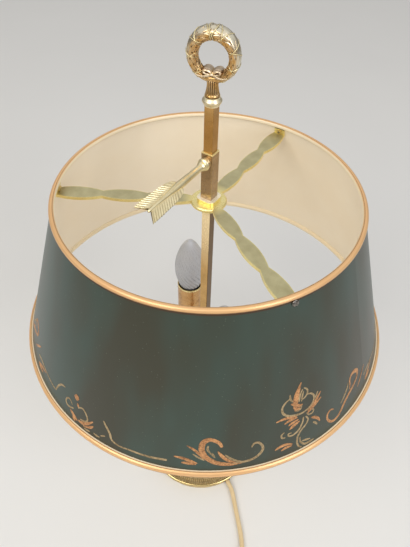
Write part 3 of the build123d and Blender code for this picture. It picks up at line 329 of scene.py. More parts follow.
# ---------------------------------------------------------------- metal finishes
def brass(name, clean, dull, rough, grain=(1, 1, 1), grain_size=0.4, relief=0.04, lip=None):
    """Brass with olive tarnish in clouds, fine tool marks one way, and worn edges with a painted highlight.

    Lip is the height above which an open end of tube is filed, polished and given a painted highlight."""
    settings = bpy.context.scene.lamp_finish
    material, tree, place = new_material(name)
    # clouds of tarnish a few millimetres wide dull and darken the metal, as handling leaves them
    clouds = node(tree, "TexNoise", {"Vector": place, "Scale": per_mm(14), "Detail": 6.0, "Roughness": 0.62})
    spots = node(tree, "TexNoise", {"Vector": place, "Scale": per_mm(1.6), "Detail": 3.0})
    dulling = node(tree, "MapRange", {"Value": clouds, "From Min": 0.38, "From Max": 0.68, "To Min": 0.0,
                                      "To Max": settings.tarnish})
    speckle = node(tree, "MapRange", {"Value": spots, "From Min": 0.56, "From Max": 0.72, "To Min": 0.0,
                                      "To Max": 0.35})
    worn = node(tree, "Math", {0: dulling, 1: speckle}, operation="ADD", use_clamp=True)
    # tool marks: noise drawn out along the way the piece was turned, drawn or brushed
    stretched = node(tree, "Mapping", {"Vector": place, "Scale": grain})
    marks = node(tree, "TexNoise", {"Vector": stretched, "Scale": per_mm(grain_size), "Detail": 4.0})
    # where the rounded normal leaves the true one there is an edge: worn, and painted brighter as a highlight
    rounded = node(tree, "Bevel", {"Radius": settings.edge}, samples=4)
    geometry = node(tree, "NewGeometry")
    square = node(tree, "VectorMath", {0: rounded, 1: geometry.outputs["Normal"]}, operation="DOT_PRODUCT")
    edge = node(tree, "MapRange", {"Value": square, "From Min": 0.99, "From Max": 0.86, "To Min": 0.0,
                                   "To Max": 0.85})
    if lip:
        height = node(tree, "SeparateXYZ", {0: place})
        filed = node(tree, "Math", {0: height.outputs["Z"], 1: lip}, operation="GREATER_THAN")
        edge = node(tree, "Math", {0: edge, 1: filed}, operation="MAXIMUM")
    metal = node(tree, "Mix", {0: worn, 6: clean, 7: dull}, data_type="RGBA")
    painted_shine = node(tree, "Mix", {0: edge, 6: metal, 7: "#F0DC9E"}, data_type="RGBA")
    # the edges are made less metallic so that they catch diffuse light, as part of the painted highlight
    wear_and_highlight_metal = node(tree, "MapRange", {"Value": edge, "To Min": 1.0, "To Max": 0.5})
    gloss = node(tree, "MapRange", {"Value": marks, "From Min": 0.3, "From Max": 0.7, "To Min": rough * 0.75,
                                    "To Max": rough * 1.3})
    duller = node(tree, "Math", {0: worn, 1: 0.22, 2: gloss}, operation="MULTIPLY_ADD")
    return finish_material(material, {"Base Color": painted_shine, "Metallic": wear_and_highlight_metal, "Roughness": duller},
                           (marks, 0.35, relief))


def finial_brass():
    """Gilded cast brass: silvery painted highlight outside, golden on its faces, brown in its hollows."""
    material, tree, place = new_material("gilt_casting_painted_highlight")
    hollow = node(tree, "AmbientOcclusion", {"Distance": 2.0 * MM}, samples=8)
    deep = node(tree, "MapRange", {"Value": hollow.outputs["AO"], "From Min": 0.95, "From Max": 0.5})
    clouds = node(tree, "TexNoise", {"Vector": place, "Scale": per_mm(6), "Detail": 5.0, "Roughness": 0.6})
    # a silvery highlight is painted where a face points away from the wreath's middle
    away = node(tree, "VectorMath", {0: place, 1: WREATH_CENTRE}, operation="SUBTRACT")
    straight = node(tree, "VectorMath", {0: away}, operation="NORMALIZE")
    facing = node(tree, "VectorMath", {0: straight, 1: node(tree, "TexCoord").outputs["Normal"]},
                  operation="DOT_PRODUCT")
    painted_highlight = node(tree, "MapRange", {"Value": facing, "From Min": 0.62, "From Max": 1.0, "To Min": -0.4,
                                   "To Max": 0.45})
    # clouds break up the edge of the painted highlight
    worn = node(tree, "Math", {0: painted_highlight, 1: clouds}, operation="ADD", use_clamp=True)
    gilt_and_highlight = node(tree, "Mix", {0: worn, 6: "#D0A464", 7: "#E6E0CA"}, data_type="RGBA")
    aged = node(tree, "Mix", {0: deep, 6: gilt_and_highlight, 7: "#5A3E20"}, data_type="RGBA")
    pits = node(tree, "TexNoise", {"Vector": place, "Scale": per_mm(0.5), "Detail": 3.0})
    gloss = node(tree, "MapRange", {"Value": deep, "To Min": 0.28, "To Max": 0.55})
    return finish_material(material, {"Base Color": aged, "Metallic": 1.0, "Roughness": gloss},
                           (pits, 0.35, 0.08))


def rod_brass():
    """Drawn square brass rod: coppery lacquer, painted shade on a side, painted reflection below the hub."""
    material, tree, place = new_material("drawn_brass_rod")
    stretched = node(tree, "Mapping", {"Vector": place, "Scale": (6, 6, 0.35)})
    marks = node(tree, "TexNoise", {"Vector": stretched, "Scale": per_mm(1.0), "Detail": 4.0})
    clouds = node(tree, "TexNoise", {"Vector": place, "Scale": per_mm(14), "Detail": 6.0, "Roughness": 0.62})
    lacquer = node(tree, "Mix", {0: clouds, 6: "#E4B87A", 7: "#A6824A"}, data_type="RGBA")
    side = node(tree, "SeparateXYZ", {0: node(tree, "TexCoord").outputs["Normal"]})
    height = node(tree, "SeparateXYZ", {0: place})
    # painted shade darkens the right side below the hub
    below = node(tree, "MapRange", {"Value": height.outputs["Z"], "From Min": ROD_PAINTED_SHADE[0],
                                    "From Max": ROD_PAINTED_SHADE[1], "To Min": 0.3, "To Max": 0.85})
    right = node(tree, "Math", {0: side.outputs["X"], 1: 0.5}, operation="GREATER_THAN")
    brown = node(tree, "Math", {0: right, 1: below}, operation="MULTIPLY")
    shade_darkened = node(tree, "Mix", {0: brown, 6: lacquer, 7: "#5C4428"}, data_type="RGBA")
    # a reflection is painted pale on the front just below the hub, fading further down
    fade, full, end = ROD_PAINTED_REFLECTION
    reach = node(tree, "MapRange", {"Value": height.outputs["Z"], "From Min": fade, "From Max": full})
    under = node(tree, "Math", {0: height.outputs["Z"], 1: end}, operation="LESS_THAN")
    front = node(tree, "Math", {0: side.outputs["Y"], 1: -0.5}, operation="LESS_THAN")
    pale = node(tree, "Math", {0: reach, 1: under}, operation="MULTIPLY")
    painted_shine = node(tree, "Math", {0: pale, 1: front}, operation="MULTIPLY")
    tint = node(tree, "Mix", {0: painted_shine, 6: shade_darkened, 7: "#FCE6B8"}, data_type="RGBA")
    metal = node(tree, "MapRange", {"Value": painted_shine, "To Min": 1.0, "To Max": 0.45})
    gloss = node(tree, "MapRange", {"Value": marks, "From Min": 0.3, "From Max": 0.7, "To Min": 0.14,
                                    "To Max": 0.3})
    return finish_material(material, {"Base Color": tint, "Metallic": metal, "Roughness": gloss},
                           (marks, 0.35, 0.03))


def beaded_brass():
    """Pressed bead band: bright crowns, and old polish left brown between the beads."""
    material, tree, place = new_material("pressed_bead_brass")
    hollow = node(tree, "AmbientOcclusion", {"Distance": 1.6 * MM}, samples=8)
    deep = node(tree, "MapRange", {"Value": hollow.outputs["AO"], "From Min": 0.95, "From Max": 0.6})
    clouds = node(tree, "TexNoise", {"Vector": place, "Scale": per_mm(5), "Detail": 4.0})
    crown = node(tree, "Mix", {0: clouds, 6: "#E4CC98", 7: "#B49868"}, data_type="RGBA")
    tint = node(tree, "Mix", {0: deep, 6: crown, 7: "#4A3620"}, data_type="RGBA")
    gloss = node(tree, "MapRange", {"Value": deep, "To Min": 0.24, "To Max": 0.55})
    return finish_material(material, {"Base Color": tint, "Metallic": 1.0, "Roughness": gloss})


def spider_brass():
    """Cast brass of the shade carrier: brushed greenish tops, polished edges and hub with painted highlights.
    """
    settings = bpy.context.scene.lamp_finish
    material, tree, place = new_material("cast_brass_brushed_top")
    geometry = node(tree, "NewGeometry")
    facing = node(tree, "SeparateXYZ", {0: geometry.outputs["Normal"]})
    top = node(tree, "MapRange", {"Value": facing.outputs["Z"], "From Min": 0.8, "From Max": 0.98})
    clouds = node(tree, "TexNoise", {"Vector": place, "Scale": per_mm(9), "Detail": 5.0})
    # emery marks of a tenth of a millimetre are drawn five times as coarse, so that they show
    emery = node(tree, "TexNoise", {"Vector": place, "Scale": per_mm(0.5), "Detail": 5.0})
    matt = node(tree, "Mix", {0: clouds, 6: "#D8D0A6", 7: "#AAA078"}, data_type="RGBA")
    bright = node(tree, "Mix", {0: clouds, 6: "#FFF2B0", 7: "#E6D088"}, data_type="RGBA")
    # the hub is polished as far as the arms' roots, and a painted highlight makes it yellower than they are
    flat = node(tree, "VectorMath", {0: place, 1: (1, 1, 0)}, operation="MULTIPLY")
    reach = node(tree, "VectorMath", {0: flat}, operation="LENGTH")
    arm = node(tree, "MapRange", {"Value": reach, "From Min": HUB_POLISH[0], "From Max": HUB_POLISH[1]})
    # the bright colour on the sides, edges and hub is a painted highlight on their polish
    rounded = node(tree, "Bevel", {"Radius": settings.edge * 2}, samples=6)
    square = node(tree, "VectorMath", {0: rounded, 1: geometry.outputs["Normal"]}, operation="DOT_PRODUCT")
    inside = node(tree, "MapRange", {"Value": square, "From Min": 0.9, "From Max": 0.995})
    brushed = node(tree, "Math", {0: top, 1: inside}, operation="MULTIPLY")
    matted = node(tree, "Math", {0: brushed, 1: arm}, operation="MULTIPLY")
    tint = node(tree, "Mix", {0: matted, 6: bright, 7: matt}, data_type="RGBA")
    # a painted highlight makes the square collar round the sleeve palest of all
    height = node(tree, "SeparateXYZ", {0: place})
    risen = node(tree, "Math", {0: height.outputs["Z"], 1: COLLAR_FOOT}, operation="GREATER_THAN")
    near = node(tree, "Math", {0: reach, 1: COLLAR_REACH}, operation="LESS_THAN")
    collar = node(tree, "Math", {0: risen, 1: near}, operation="MULTIPLY")
    pale = node(tree, "Mix", {0: collar, 6: tint, 7: "#FFF2D6"}, data_type="RGBA")
    metal = node(tree, "MapRange", {"Value": collar, "To Min": 0.9, "To Max": 0.4})
    gloss = node(tree, "MapRange", {"Value": matted, "To Min": 0.2, "To Max": 0.4})
    grainy = node(tree, "Math", {0: emery, 1: 0.16, 2: gloss}, operation="MULTIPLY_ADD")
    return finish_material(material, {"Base Color": pale, "Metallic": metal, "Roughness": grainy},
                           (emery, 0.8, 0.1))


def rim_gold():
    """Bronze powder paint on the rolled rims: orange gold, slightly grainy, with painted shade in a crease.
    """
    settings = bpy.context.scene.lamp_finish
    material, tree, place = new_material("bronze_powder_paint")
    clouds = node(tree, "TexNoise", {"Vector": place, "Scale": per_mm(30), "Detail": 4.0, "Roughness": 0.5})
    grains = node(tree, "TexNoise", {"Vector": place, "Scale": per_mm(0.35), "Detail": 2.0})
    tint = node(tree, "Mix", {0: clouds, 6: settings.rim, 7: "#EEC28C"}, data_type="RGBA")
    gloss = node(tree, "MapRange", {"Value": grains, "To Min": 0.24, "To Max": 0.42})
    # how far a point of the roll faces away from the axis tells where on its section it is
    flat = node(tree, "VectorMath", {0: place, 1: (1, 1, 0)}, operation="MULTIPLY")
    way = node(tree, "VectorMath", {0: flat}, operation="NORMALIZE")
    normal = node(tree, "TexCoord").outputs["Normal"]
    outward = node(tree, "VectorMath", {0: way, 1: normal}, operation="DOT_PRODUCT")
    # a thin brown line of painted shade at the sheet's edge, inside the top roll and outside the lower one
    top_crease, low_crease, top_coat, low_coat = -0.42, 0.22, -0.66, 0.12
    height = node(tree, "SeparateXYZ", {0: place})
    lower = node(tree, "Math", {0: height.outputs["Z"], 1: (SHADE_LOW + TOP_MIDDLE[1]) / 2},
                 operation="LESS_THAN")
    middle = node(tree, "Math", {0: lower, 1: low_crease - top_crease, 2: top_crease},
                  operation="MULTIPLY_ADD")
    painted_crease_shade = node(tree, "Math", {0: outward, 1: middle, 2: 0.07}, operation="COMPARE")
    faint = node(tree, "Math", {0: painted_crease_shade, 1: 0.7}, operation="MULTIPLY")
    # painted shade browns the gold on the roll's underside
    facing = node(tree, "SeparateXYZ", {0: normal})
    under = node(tree, "MapRange", {"Value": facing.outputs["Z"], "From Min": 0.3, "From Max": -0.3,
                                    "To Max": 0.9})
    shade_darkened = node(tree, "Mix", {0: under, 6: tint, 7: "#8A5A30"}, data_type="RGBA")
    crease_shaded = node(tree, "Mix", {0: faint, 6: shade_darkened, 7: "#6E4A26"}, data_type="RGBA")
    # the cream coat laps the top roll a little, and covers the lower roll's whole inner half
    spread = node(tree, "Math", {0: lower, 1: top_coat - low_coat, 2: outward}, operation="MULTIPLY_ADD")
    inner = node(tree, "MapRange", {"Value": spread, "From Min": top_coat, "From Max": top_coat - 0.14})
    coated = node(tree, "Mix", {0: inner, 6: crease_shaded, 7: "#F2E2C2"}, data_type="RGBA")
    metal = node(tree, "MapRange", {"Value": inner, "To Min": 0.4, "To Max": 0.0})
    return finish_material(material, {"Base Color": coated, "Metallic": metal, "Roughness": gloss},
                           (grains, 0.2, 0.03))


def shell_gold(name, full, thin, bare):
    """Brushed shell gold: bright where the brush left it full, dull where it is thin and the green shows."""
    material, tree, place = new_material(name)
    streaks = node(tree, "TexNoise", {"Vector": place, "Scale": per_mm(1.7), "Detail": 5.0, "Roughness": 0.7})
    pools = node(tree, "TexNoise", {"Vector": place, "Scale": per_mm(7), "Detail": 3.0})
    grains = node(tree, "TexNoise", {"Vector": place, "Scale": per_mm(0.3), "Detail": 2.0})
    load = node(tree, "Math", {0: pools, 1: 0.5, 2: streaks}, operation="MULTIPLY_ADD")
    tint = node(tree, "ValToRGB", {"Fac": load})
    tint.color_ramp.elements[0].position = 0.52
    tint.color_ramp.elements[0].color = colour(bare)
    tint.color_ramp.elements[1].position = 0.9
    tint.color_ramp.elements[1].color = colour(full)
    tint.color_ramp.elements.new(0.66).color = colour(thin)
    gloss = node(tree, "MapRange", {"Value": grains, "To Min": 0.38, "To Max": 0.58})
    return finish_material(material, {"Base Color": tint, "Metallic": 0.5, "Roughness": gloss},
                           (streaks, 0.3, 0.05))


def steel(name, light, dark, rough, size):
    """Plated or blackened steel with blotches and fine scratches."""
    material, tree, place = new_material(name)
    blotch = node(tree, "TexNoise", {"Vector": place, "Scale": per_mm(size), "Detail": 6.0,
                                     "Roughness": 0.65})
    scratches = node(tree, "TexNoise", {"Vector": place, "Scale": per_mm(0.3), "Detail": 3.0})
    tint = node(tree, "Mix", {0: blotch, 6: light, 7: dark}, data_type="RGBA")
    gloss = node(tree, "MapRange", {"Value": blotch, "To Min": rough * 0.7, "To Max": rough * 1.4})
    return finish_material(material, {"Base Color": tint, "Metallic": 1.0, "Roughness": gloss},
                           (scratches, 0.3, 0.03))


# ---------------------------------------------------------------- paint, plastic, felt and glass
def shade_paint():
    """Dark green stoved enamel outside, with pale specks and a painted shadow over the rims, and cream
    inside.
    """
    settings = bpy.context.scene.lamp_finish
    material, tree, place = new_material("stoved_enamel_green_and_cream")
    flat = node(tree, "VectorMath", {0: place, 1: (1, 1, 0)}, operation="MULTIPLY")
    normal = node(tree, "TexCoord").outputs["Normal"]
    outward = node(tree, "VectorMath", {0: flat, 1: normal}, operation="DOT_PRODUCT")
    outside = node(tree, "Math", {0: outward, 1: 0.0}, operation="GREATER_THAN")
    # green: stoving clouds, drawn out down the cone and browner in places, partly painted reflection bands
    drawn = node(tree, "Mapping", {"Vector": place, "Scale": (1, 1, 0.07)})
    clouds = node(tree, "TexNoise", {"Vector": drawn, "Scale": per_mm(60), "Detail": 4.0, "Roughness": 0.55})
    reflection_bands = node(tree, "TexNoise", {"Vector": drawn, "Scale": per_mm(52), "Detail": 2.0})
    brown = node(tree, "MapRange", {"Value": reflection_bands, "From Min": 0.42, "From Max": 0.68, "To Max": 0.9})
    fresh = node(tree, "Mix", {0: clouds, 6: settings.enamel, 7: settings.enamel_cloud}, data_type="RGBA")
    green = node(tree, "Mix", {0: brown, 6: fresh, 7: "#33301F"}, data_type="RGBA")
    # specks of trapped dust
    spacing = 2.4       # millimetres between the specks that could be
    cells = node(tree, "TexVoronoi", {"Vector": place, "Scale": per_mm(spacing)})
    chance = node(tree, "SeparateColor", {0: cells.outputs["Color"]})
    chosen = node(tree, "Math", {0: chance, 1: 0.82}, operation="GREATER_THAN")
    dot = node(tree, "Math", {0: cells.outputs["Distance"], 1: settings.fleck / (spacing * MM)},
               operation="LESS_THAN")
    fleck = node(tree, "Math", {0: chosen, 1: dot}, operation="MULTIPLY")
    faint = node(tree, "Math", {0: fleck, 1: 0.4}, operation="MULTIPLY")
    specked = node(tree, "Mix", {0: faint, 6: green, 7: "#8C9A86"}, data_type="RGBA")
    # a painted shadow line runs along both rims, where the gold overlaps the green
    height = node(tree, "SeparateXYZ", {0: place})
    low_rim_shadow = node(tree, "Math", {0: height.outputs["Z"], 1: SHADE_LOW + LOW_ROLL + 0.7 * MM},
                    operation="LESS_THAN")
    top_rim_shadow = node(tree, "Math", {0: height.outputs["Z"], 1: TOP_MIDDLE[1] - TOP_ROLL / 2 - 1.5 * MM},
                    operation="GREATER_THAN")
    line = node(tree, "Math", {0: low_rim_shadow, 1: top_rim_shadow}, operation="MAXIMUM")
    crease_shaded = node(tree, "Mix", {0: line, 6: specked, 7: "#3E2C18"}, data_type="RGBA")
    # cream: yellowed in broad clouds, with the soft texture of a brushed coat
    aged = node(tree, "TexNoise", {"Vector": place, "Scale": per_mm(85), "Detail": 5.0, "Roughness": 0.6})
    cream = node(tree, "Mix", {0: aged, 6: settings.cream, 7: "#F2E2C6"}, data_type="RGBA")
    tint = node(tree, "Mix", {0: outside, 6: cream, 7: crease_shaded}, data_type="RGBA")
    gloss = node(tree, "MapRange", {"Value": outside, "To Min": 0.52, "To Max": 0.27})
    uneven = node(tree, "Math", {0: clouds, 1: 0.1, 2: gloss}, operation="MULTIPLY_ADD")
    peel = node(tree, "TexNoise", {"Vector": place, "Scale": per_mm(2.2), "Detail": 3.0})
    return finish_material(material, {"Base Color": tint, "Roughness": uneven, "Specular IOR Level": 0.45},
                           (peel, 0.12, 0.05))


def plastic(name, light, dark, rough, grain):
    """Moulded plastic or rubber: a slight mottle in the colour and a spark-eroded grain in the gloss."""
    material, tree, place = new_material(name)
    mottle = node(tree, "TexNoise", {"Vector": place, "Scale": per_mm(12), "Detail": 4.0})
    pits = node(tree, "TexNoise", {"Vector": place, "Scale": per_mm(grain), "Detail": 3.0})
    tint = node(tree, "Mix", {0: mottle, 6: light, 7: dark}, data_type="RGBA")
    gloss = node(tree, "MapRange", {"Value": pits, "To Min": rough * 0.8, "To Max": rough * 1.25})
    return finish_material(material, {"Base Color": tint, "Roughness": gloss}, (pits, 0.3, 0.04))


def felt():
    """Green baize: matted fibres that catch light along the edge."""
    material, tree, place = new_material("wool_baize")
    fibres = node(tree, "TexNoise", {"Vector": place, "Scale": per_mm(0.4), "Detail": 6.0, "Roughness": 0.75,
                                     "Distortion": 1.5})
    clumps = node(tree, "TexNoise", {"Vector": place, "Scale": per_mm(4), "Detail": 3.0})
    tint = node(tree, "Mix", {0: fibres, 6: "#1F3A24", 7: "#3D6142"}, data_type="RGBA")
    patchy = node(tree, "Mix", {0: clumps, 6: tint, 7: "#2B4A30"}, data_type="RGBA")
    return finish_material(material, {"Base Color": patchy, "Roughness": 0.95, "Sheen Weight": 0.4,
                                      "Sheen Roughness": 0.5}, (fibres, 0.8, 0.25))


def bulb_glass_material():
    """Acid-etched bulb glass: milky, slightly translucent, a soft bloom, painted shade between the ribs."""
    material, tree, place = new_material("acid_etched_glass")
    bloom = node(tree, "TexNoise", {"Vector": place, "Scale": per_mm(7), "Detail": 5.0})
    frost = node(tree, "TexNoise", {"Vector": place, "Scale": per_mm(0.25), "Detail": 2.0})
    # painted shade: the glass turns grey in the grooves between the ribs
    hollow = node(tree, "AmbientOcclusion", {"Distance": 3 * MM}, samples=8)
    groove = node(tree, "MapRange", {"Value": hollow.outputs["AO"], "From Min": 0.99, "From Max": 0.78})
    tint = node(tree, "Mix", {0: bloom, 6: "#C2C8D4", 7: "#D2D6DF"}, data_type="RGBA")
    groove_shaded = node(tree, "Mix", {0: groove, 6: tint, 7: "#6C6E7A"}, data_type="RGBA")
    gloss = node(tree, "MapRange", {"Value": bloom, "To Min": 0.28, "To Max": 0.42})
    return finish_material(material, {"Base Color": groove_shaded, "Roughness": gloss, "Transmission Weight": 0.15,
                                      "IOR": 1.45, "Coat Weight": 0.4, "Coat Roughness": 0.15},
                           (frost, 0.2, 0.02))


def slot_materials():
    """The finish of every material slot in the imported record."""
    settings = bpy.context.scene.lamp_finish
    return {
        # spun parts carry rings of tool marks, so the noise is drawn out level with the table
        "spun_brass": brass("spun_brass", "#DFC68E", "#A38C58", 0.17, (1, 1, 6), 1.2),
        "cast_brass": brass("cast_brass", "#E6CB8C", "#9C8450", 0.24, (1, 1, 1), 0.7, 0.09),
        "rod_brass": rod_brass(),
        # the candle tube's thin wall has shallow dents about 3.5 mm wide, which break up its gloss
        "candle_brass": brass("lacquered_brass_tube", "#CEA26C", "#8E663C", 0.2, (1, 1, 0.8), 3.5, 1.6,
                              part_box("candle_sleeve_1")[1][2] - 2.0 * MM),
        "green_felt": felt(),
        "zinc_steel": steel("zinc_plated_steel", "#B4B6B8", "#8C8E90", 0.34, 6),
        "iron_weight": steel("raw_cast_iron", "#4A4846", "#2E2B28", 0.6, 4),
        "black_rubber": plastic("black_rubber", "#1A1A1A", "#26262A", 0.6, 0.6),
        "wire_insulation": plastic("wire_insulation", "#D8D4C8", "#C6C0AE", 0.45, 0.6),
        "shade_paint": shade_paint(),
        "rim_gold": rim_gold(),
        "dark_screw": steel("blackened_screw_steel", "#A8A29A", "#3A3430", 0.26, 1.5),
        "cord_cover": plastic("gold_flex_sheath", settings.sheath, "#D8BC8C", 0.3, 1.2),
        "switch_plastic": plastic("gold_tinted_plastic", "#B89A5C", "#A5864A", 0.34, 0.7),
        "rocker_plastic": plastic("gold_rocker_plastic", "#A88A50", "#957640", 0.3, 0.7),
        "plug_plastic": plastic("aged_ivory_plastic", "#C6AF86", "#B29A6E", 0.34, 0.8),
        "pin_metal": steel("nickel_plate", "#CFCBC0", "#A9A498", 0.2, 3),
        "holder_plastic": plastic("black_phenolic", "#1D1916", "#2A2420", 0.4, 1.0),
        "frosted_glass": bulb_glass_material(),
    }


# ---------------------------------------------------------------- cord
def cord_piece(name, points):
    """One smooth cord along its route's control points."""
    curve = bpy.data.curves.new(name, "CURVE")
    curve.dimensions = "3D"
    curve.bevel_depth = CORD_DIAMETER / 2
    curve.bevel_resolution = 5
    curve.resolution_u = 6
    curve.use_fill_caps = True
    curve.materials.append(bpy.data.materials["gold_flex_sheath"])
    spline = curve.splines.new("NURBS")
    spline.points.add(len(points) - 1)
    for point, place in zip(spline.points, points):
        point.co = (*place, 1.0)
    spline.order_u = 3
    spline.use_endpoint_u = True
    piece = bpy.data.objects.new(name, curve)
    bpy.context.scene.collection.objects.link(piece)
    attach(piece, "stand")
    return piece


def coil_route(start_turn):
    """Control points of the wound cord: inwards along the table, up over itself, and out again on top."""
    per_turn = 14
    # (turns so far, radius and height in millimetres)
    stages = [(0.0, 46.5, 3.1), (3.15, 27.9, 3.1), (3.65, 26.6, 7.5), (4.15, 27.9, 9.3), (6.333, 40.3, 9.3)]
    points = []
    count = round(stages[-1][0] * per_turn)
    for n in range(1, count):
        turns = n * stages[-1][0] / count
        for (t0, r0, z0), (t1, r1, z1) in zip(stages, stages[1:]):
            if t0 <= turns <= t1:
                share = (turns - t0) / (t1 - t0)
                radius = (r0 + (r1 - r0) * share) * MM / cos(pi / per_turn)
                turn = start_turn - 2 * pi * turns
                points.append((COIL_CENTRE[0] + radius * cos(turn), COIL_CENTRE[1] + radius * sin(turn),
                               (z0 + (z1 - z0) * share) * MM))
                break
    return points


class LAMP_OT_cord(bpy.types.Operator):
    """Lays the mains cord from the base through the switch to its coil and plug"""
    bl_idname = "lamp.cord"
    bl_label = "Cord"

    def execute(self, context):
        to_switch = cord_piece("flex_to_switch", ROUTE_TO_SWITCH)
        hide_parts("cord")
        first = ROUTE_TO_COIL[-1]
        winding = coil_route(atan2(first[1] - COIL_CENTRE[1], first[0] - COIL_CENTRE[0]))
        to_plug = cord_piece("flex_to_plug", ROUTE_TO_COIL + winding + ROUTE_TO_PLUG)
        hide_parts("cord_to_coil", "cord_coil", "cord_to_plug")
        return {"FINISHED"}


# ---------------------------------------------------------------- shade ornament
def on_shade(middle, x, height, lift):
    """Place on the shade's outer face: x to the right of a middle azimuth, height above the lower edge."""
    level = SHADE_LOW + height
    radius = TOP_MIDDLE[0] + SHEET_PROUD + SHADE_SPREAD * (TOP_MIDDLE[1] - level)
    turn = middle + x / radius
    out = Vector((cos(turn), sin(turn), SHADE_SPREAD)).normalized()
    return Vector((radius * cos(turn), radius * sin(turn), level)) + out * lift


def brush_stroke(vertices, faces, middle, points):
    """A domed stroke of paint through (x, height, width) points in millimetres, with rounded ends."""
    settings = bpy.context.scene.lamp_ornament
    # a stroke's thin edges hardly show, so it is drawn a little wider than it looks
    path = smooth_path([(x * MM, h * MM, (0.25 + 1.08 * w) * MM) for x, h, w in points], settings.step)
    lengths = [0.0]
    for a, b in zip(path, path[1:]):
        lengths.append(lengths[-1] + hypot(b[0] - a[0], b[1] - a[1]))
    rows = []
    for n, (x, height, width) in enumerate(path):
        before, after = path[max(n - 1, 0)], path[min(n + 1, len(path) - 1)]
        along = Vector((after[0] - before[0], after[1] - before[1])).normalized()
        end = min(lengths[n], lengths[-1] - lengths[n]) / max(width / 2, 0.1 * MM)
        half = width / 2 * sqrt(max(0.02, 1 - (1 - min(end, 1)) ** 2))
        row = []
        for share in ACROSS_BAND:
            lift = settings.thickness * (1 - share * share) ** 0.7 * min(1, half / (0.8 * MM)) + 0.01 * MM
            row.append(on_shade(middle, x - along.y * half * share, height + along.x * half * share, lift))
        rows.append(row)
    add_grid(vertices, faces, rows)


# Brush strokes of (x, height, width) points in millimetres, round the middle of their spray.
# On the large spray's left: a C scroll and its tail, leaves inside and outside it, and a pair of leaves
SCROLL_LEFT = [
    [(-70.4, 32.5, 2.0), (-72.6, 38, 3.0), (-79, 41.4, 3.4), (-84.6, 38.4, 4.0), (-87.2, 32, 4.4),
     (-86.4, 24.8, 4.6), (-82, 18.8, 4.4), (-75.6, 15, 3.8), (-66, 13, 2.8), (-55, 13.4, 1.0)],
    [(-66, 13.6, 0.8), (-57, 13.5, 1.9), (-46, 15.2, 2.0), (-39, 20, 2.0), (-36.6, 25.6, 2.0),
     (-39.4, 31.6, 1.8), (-43.5, 32.2, 1.5), (-46.3, 28.4, 1.0)],
    [(-81.2, 35, 0.7), (-82.4, 30.5, 1.8), (-80.2, 25, 0.8)],
    [(-79.3, 27, 0.7), (-78.9, 24.4, 1.8), (-77.4, 21.4, 0.7)],
    [(-74.4, 28.6, 0.7), (-71.4, 22.6, 2.8), (-66.6, 17, 2.4), (-61, 14, 0.8)],
    [(-69, 24.4, 0.7), (-64.4, 19, 2.0), (-59, 15.4, 1.8), (-53, 13.6, 0.7)],
    [(-99, 34, 0.7), (-93.6, 30, 2.2), (-89.6, 24.6, 2.0), (-87, 20, 0.7)],
    [(-95.4, 25.4, 0.7), (-91.4, 21.8, 1.6), (-86.6, 18.6, 0.6)],
    [(-112, 20.6, 0.8), (-104.6, 19.6, 2.6), (-98.6, 17.4, 2.6), (-93, 15, 0.7)],
    [(-106.6, 14.6, 0.9), (-101, 14.6, 2.8), (-94, 13.8, 0.9)],
]
# On its right: a narrower and taller scroll, leaves beside it, and a pair of leaves
SCROLL_RIGHT = [
    [(37.5, 26.6, 0.8), (33.4, 29.4, 1.4), (29.8, 27.6, 1.7), (28.8, 23, 1.8), (31.6, 17.4, 2.0),
     (37, 13.8, 2.2), (43.4, 14.4, 2.4), (49, 19, 2.8), (54.4, 23.8, 3.2), (61, 27.6, 3.2), (68.4, 30.8, 3.0),
     (74.4, 35, 2.8), (74.8, 40.4, 3.0), (70.4, 44.2, 3.4), (64.8, 45.4, 3.0), (61, 42, 2.2), (61.6, 36, 1.6),
     (60.6, 31.5, 1.0)],
    [(47, 26, 0.7), (52, 30.4, 2.0), (56.4, 35.6, 2.0), (58.4, 41, 0.7)],
    [(90, 35, 0.7), (85, 30.4, 2.2), (80.4, 25.4, 1.8), (75.6, 21.6, 0.7)],
    [(112, 20.6, 0.8), (104.6, 19.6, 2.6), (98.6, 17.4, 2.6), (93, 15, 0.7)],
    [(106.6, 14.6, 0.9), (101, 14.6, 2.8), (94, 13.8, 0.9)],
]
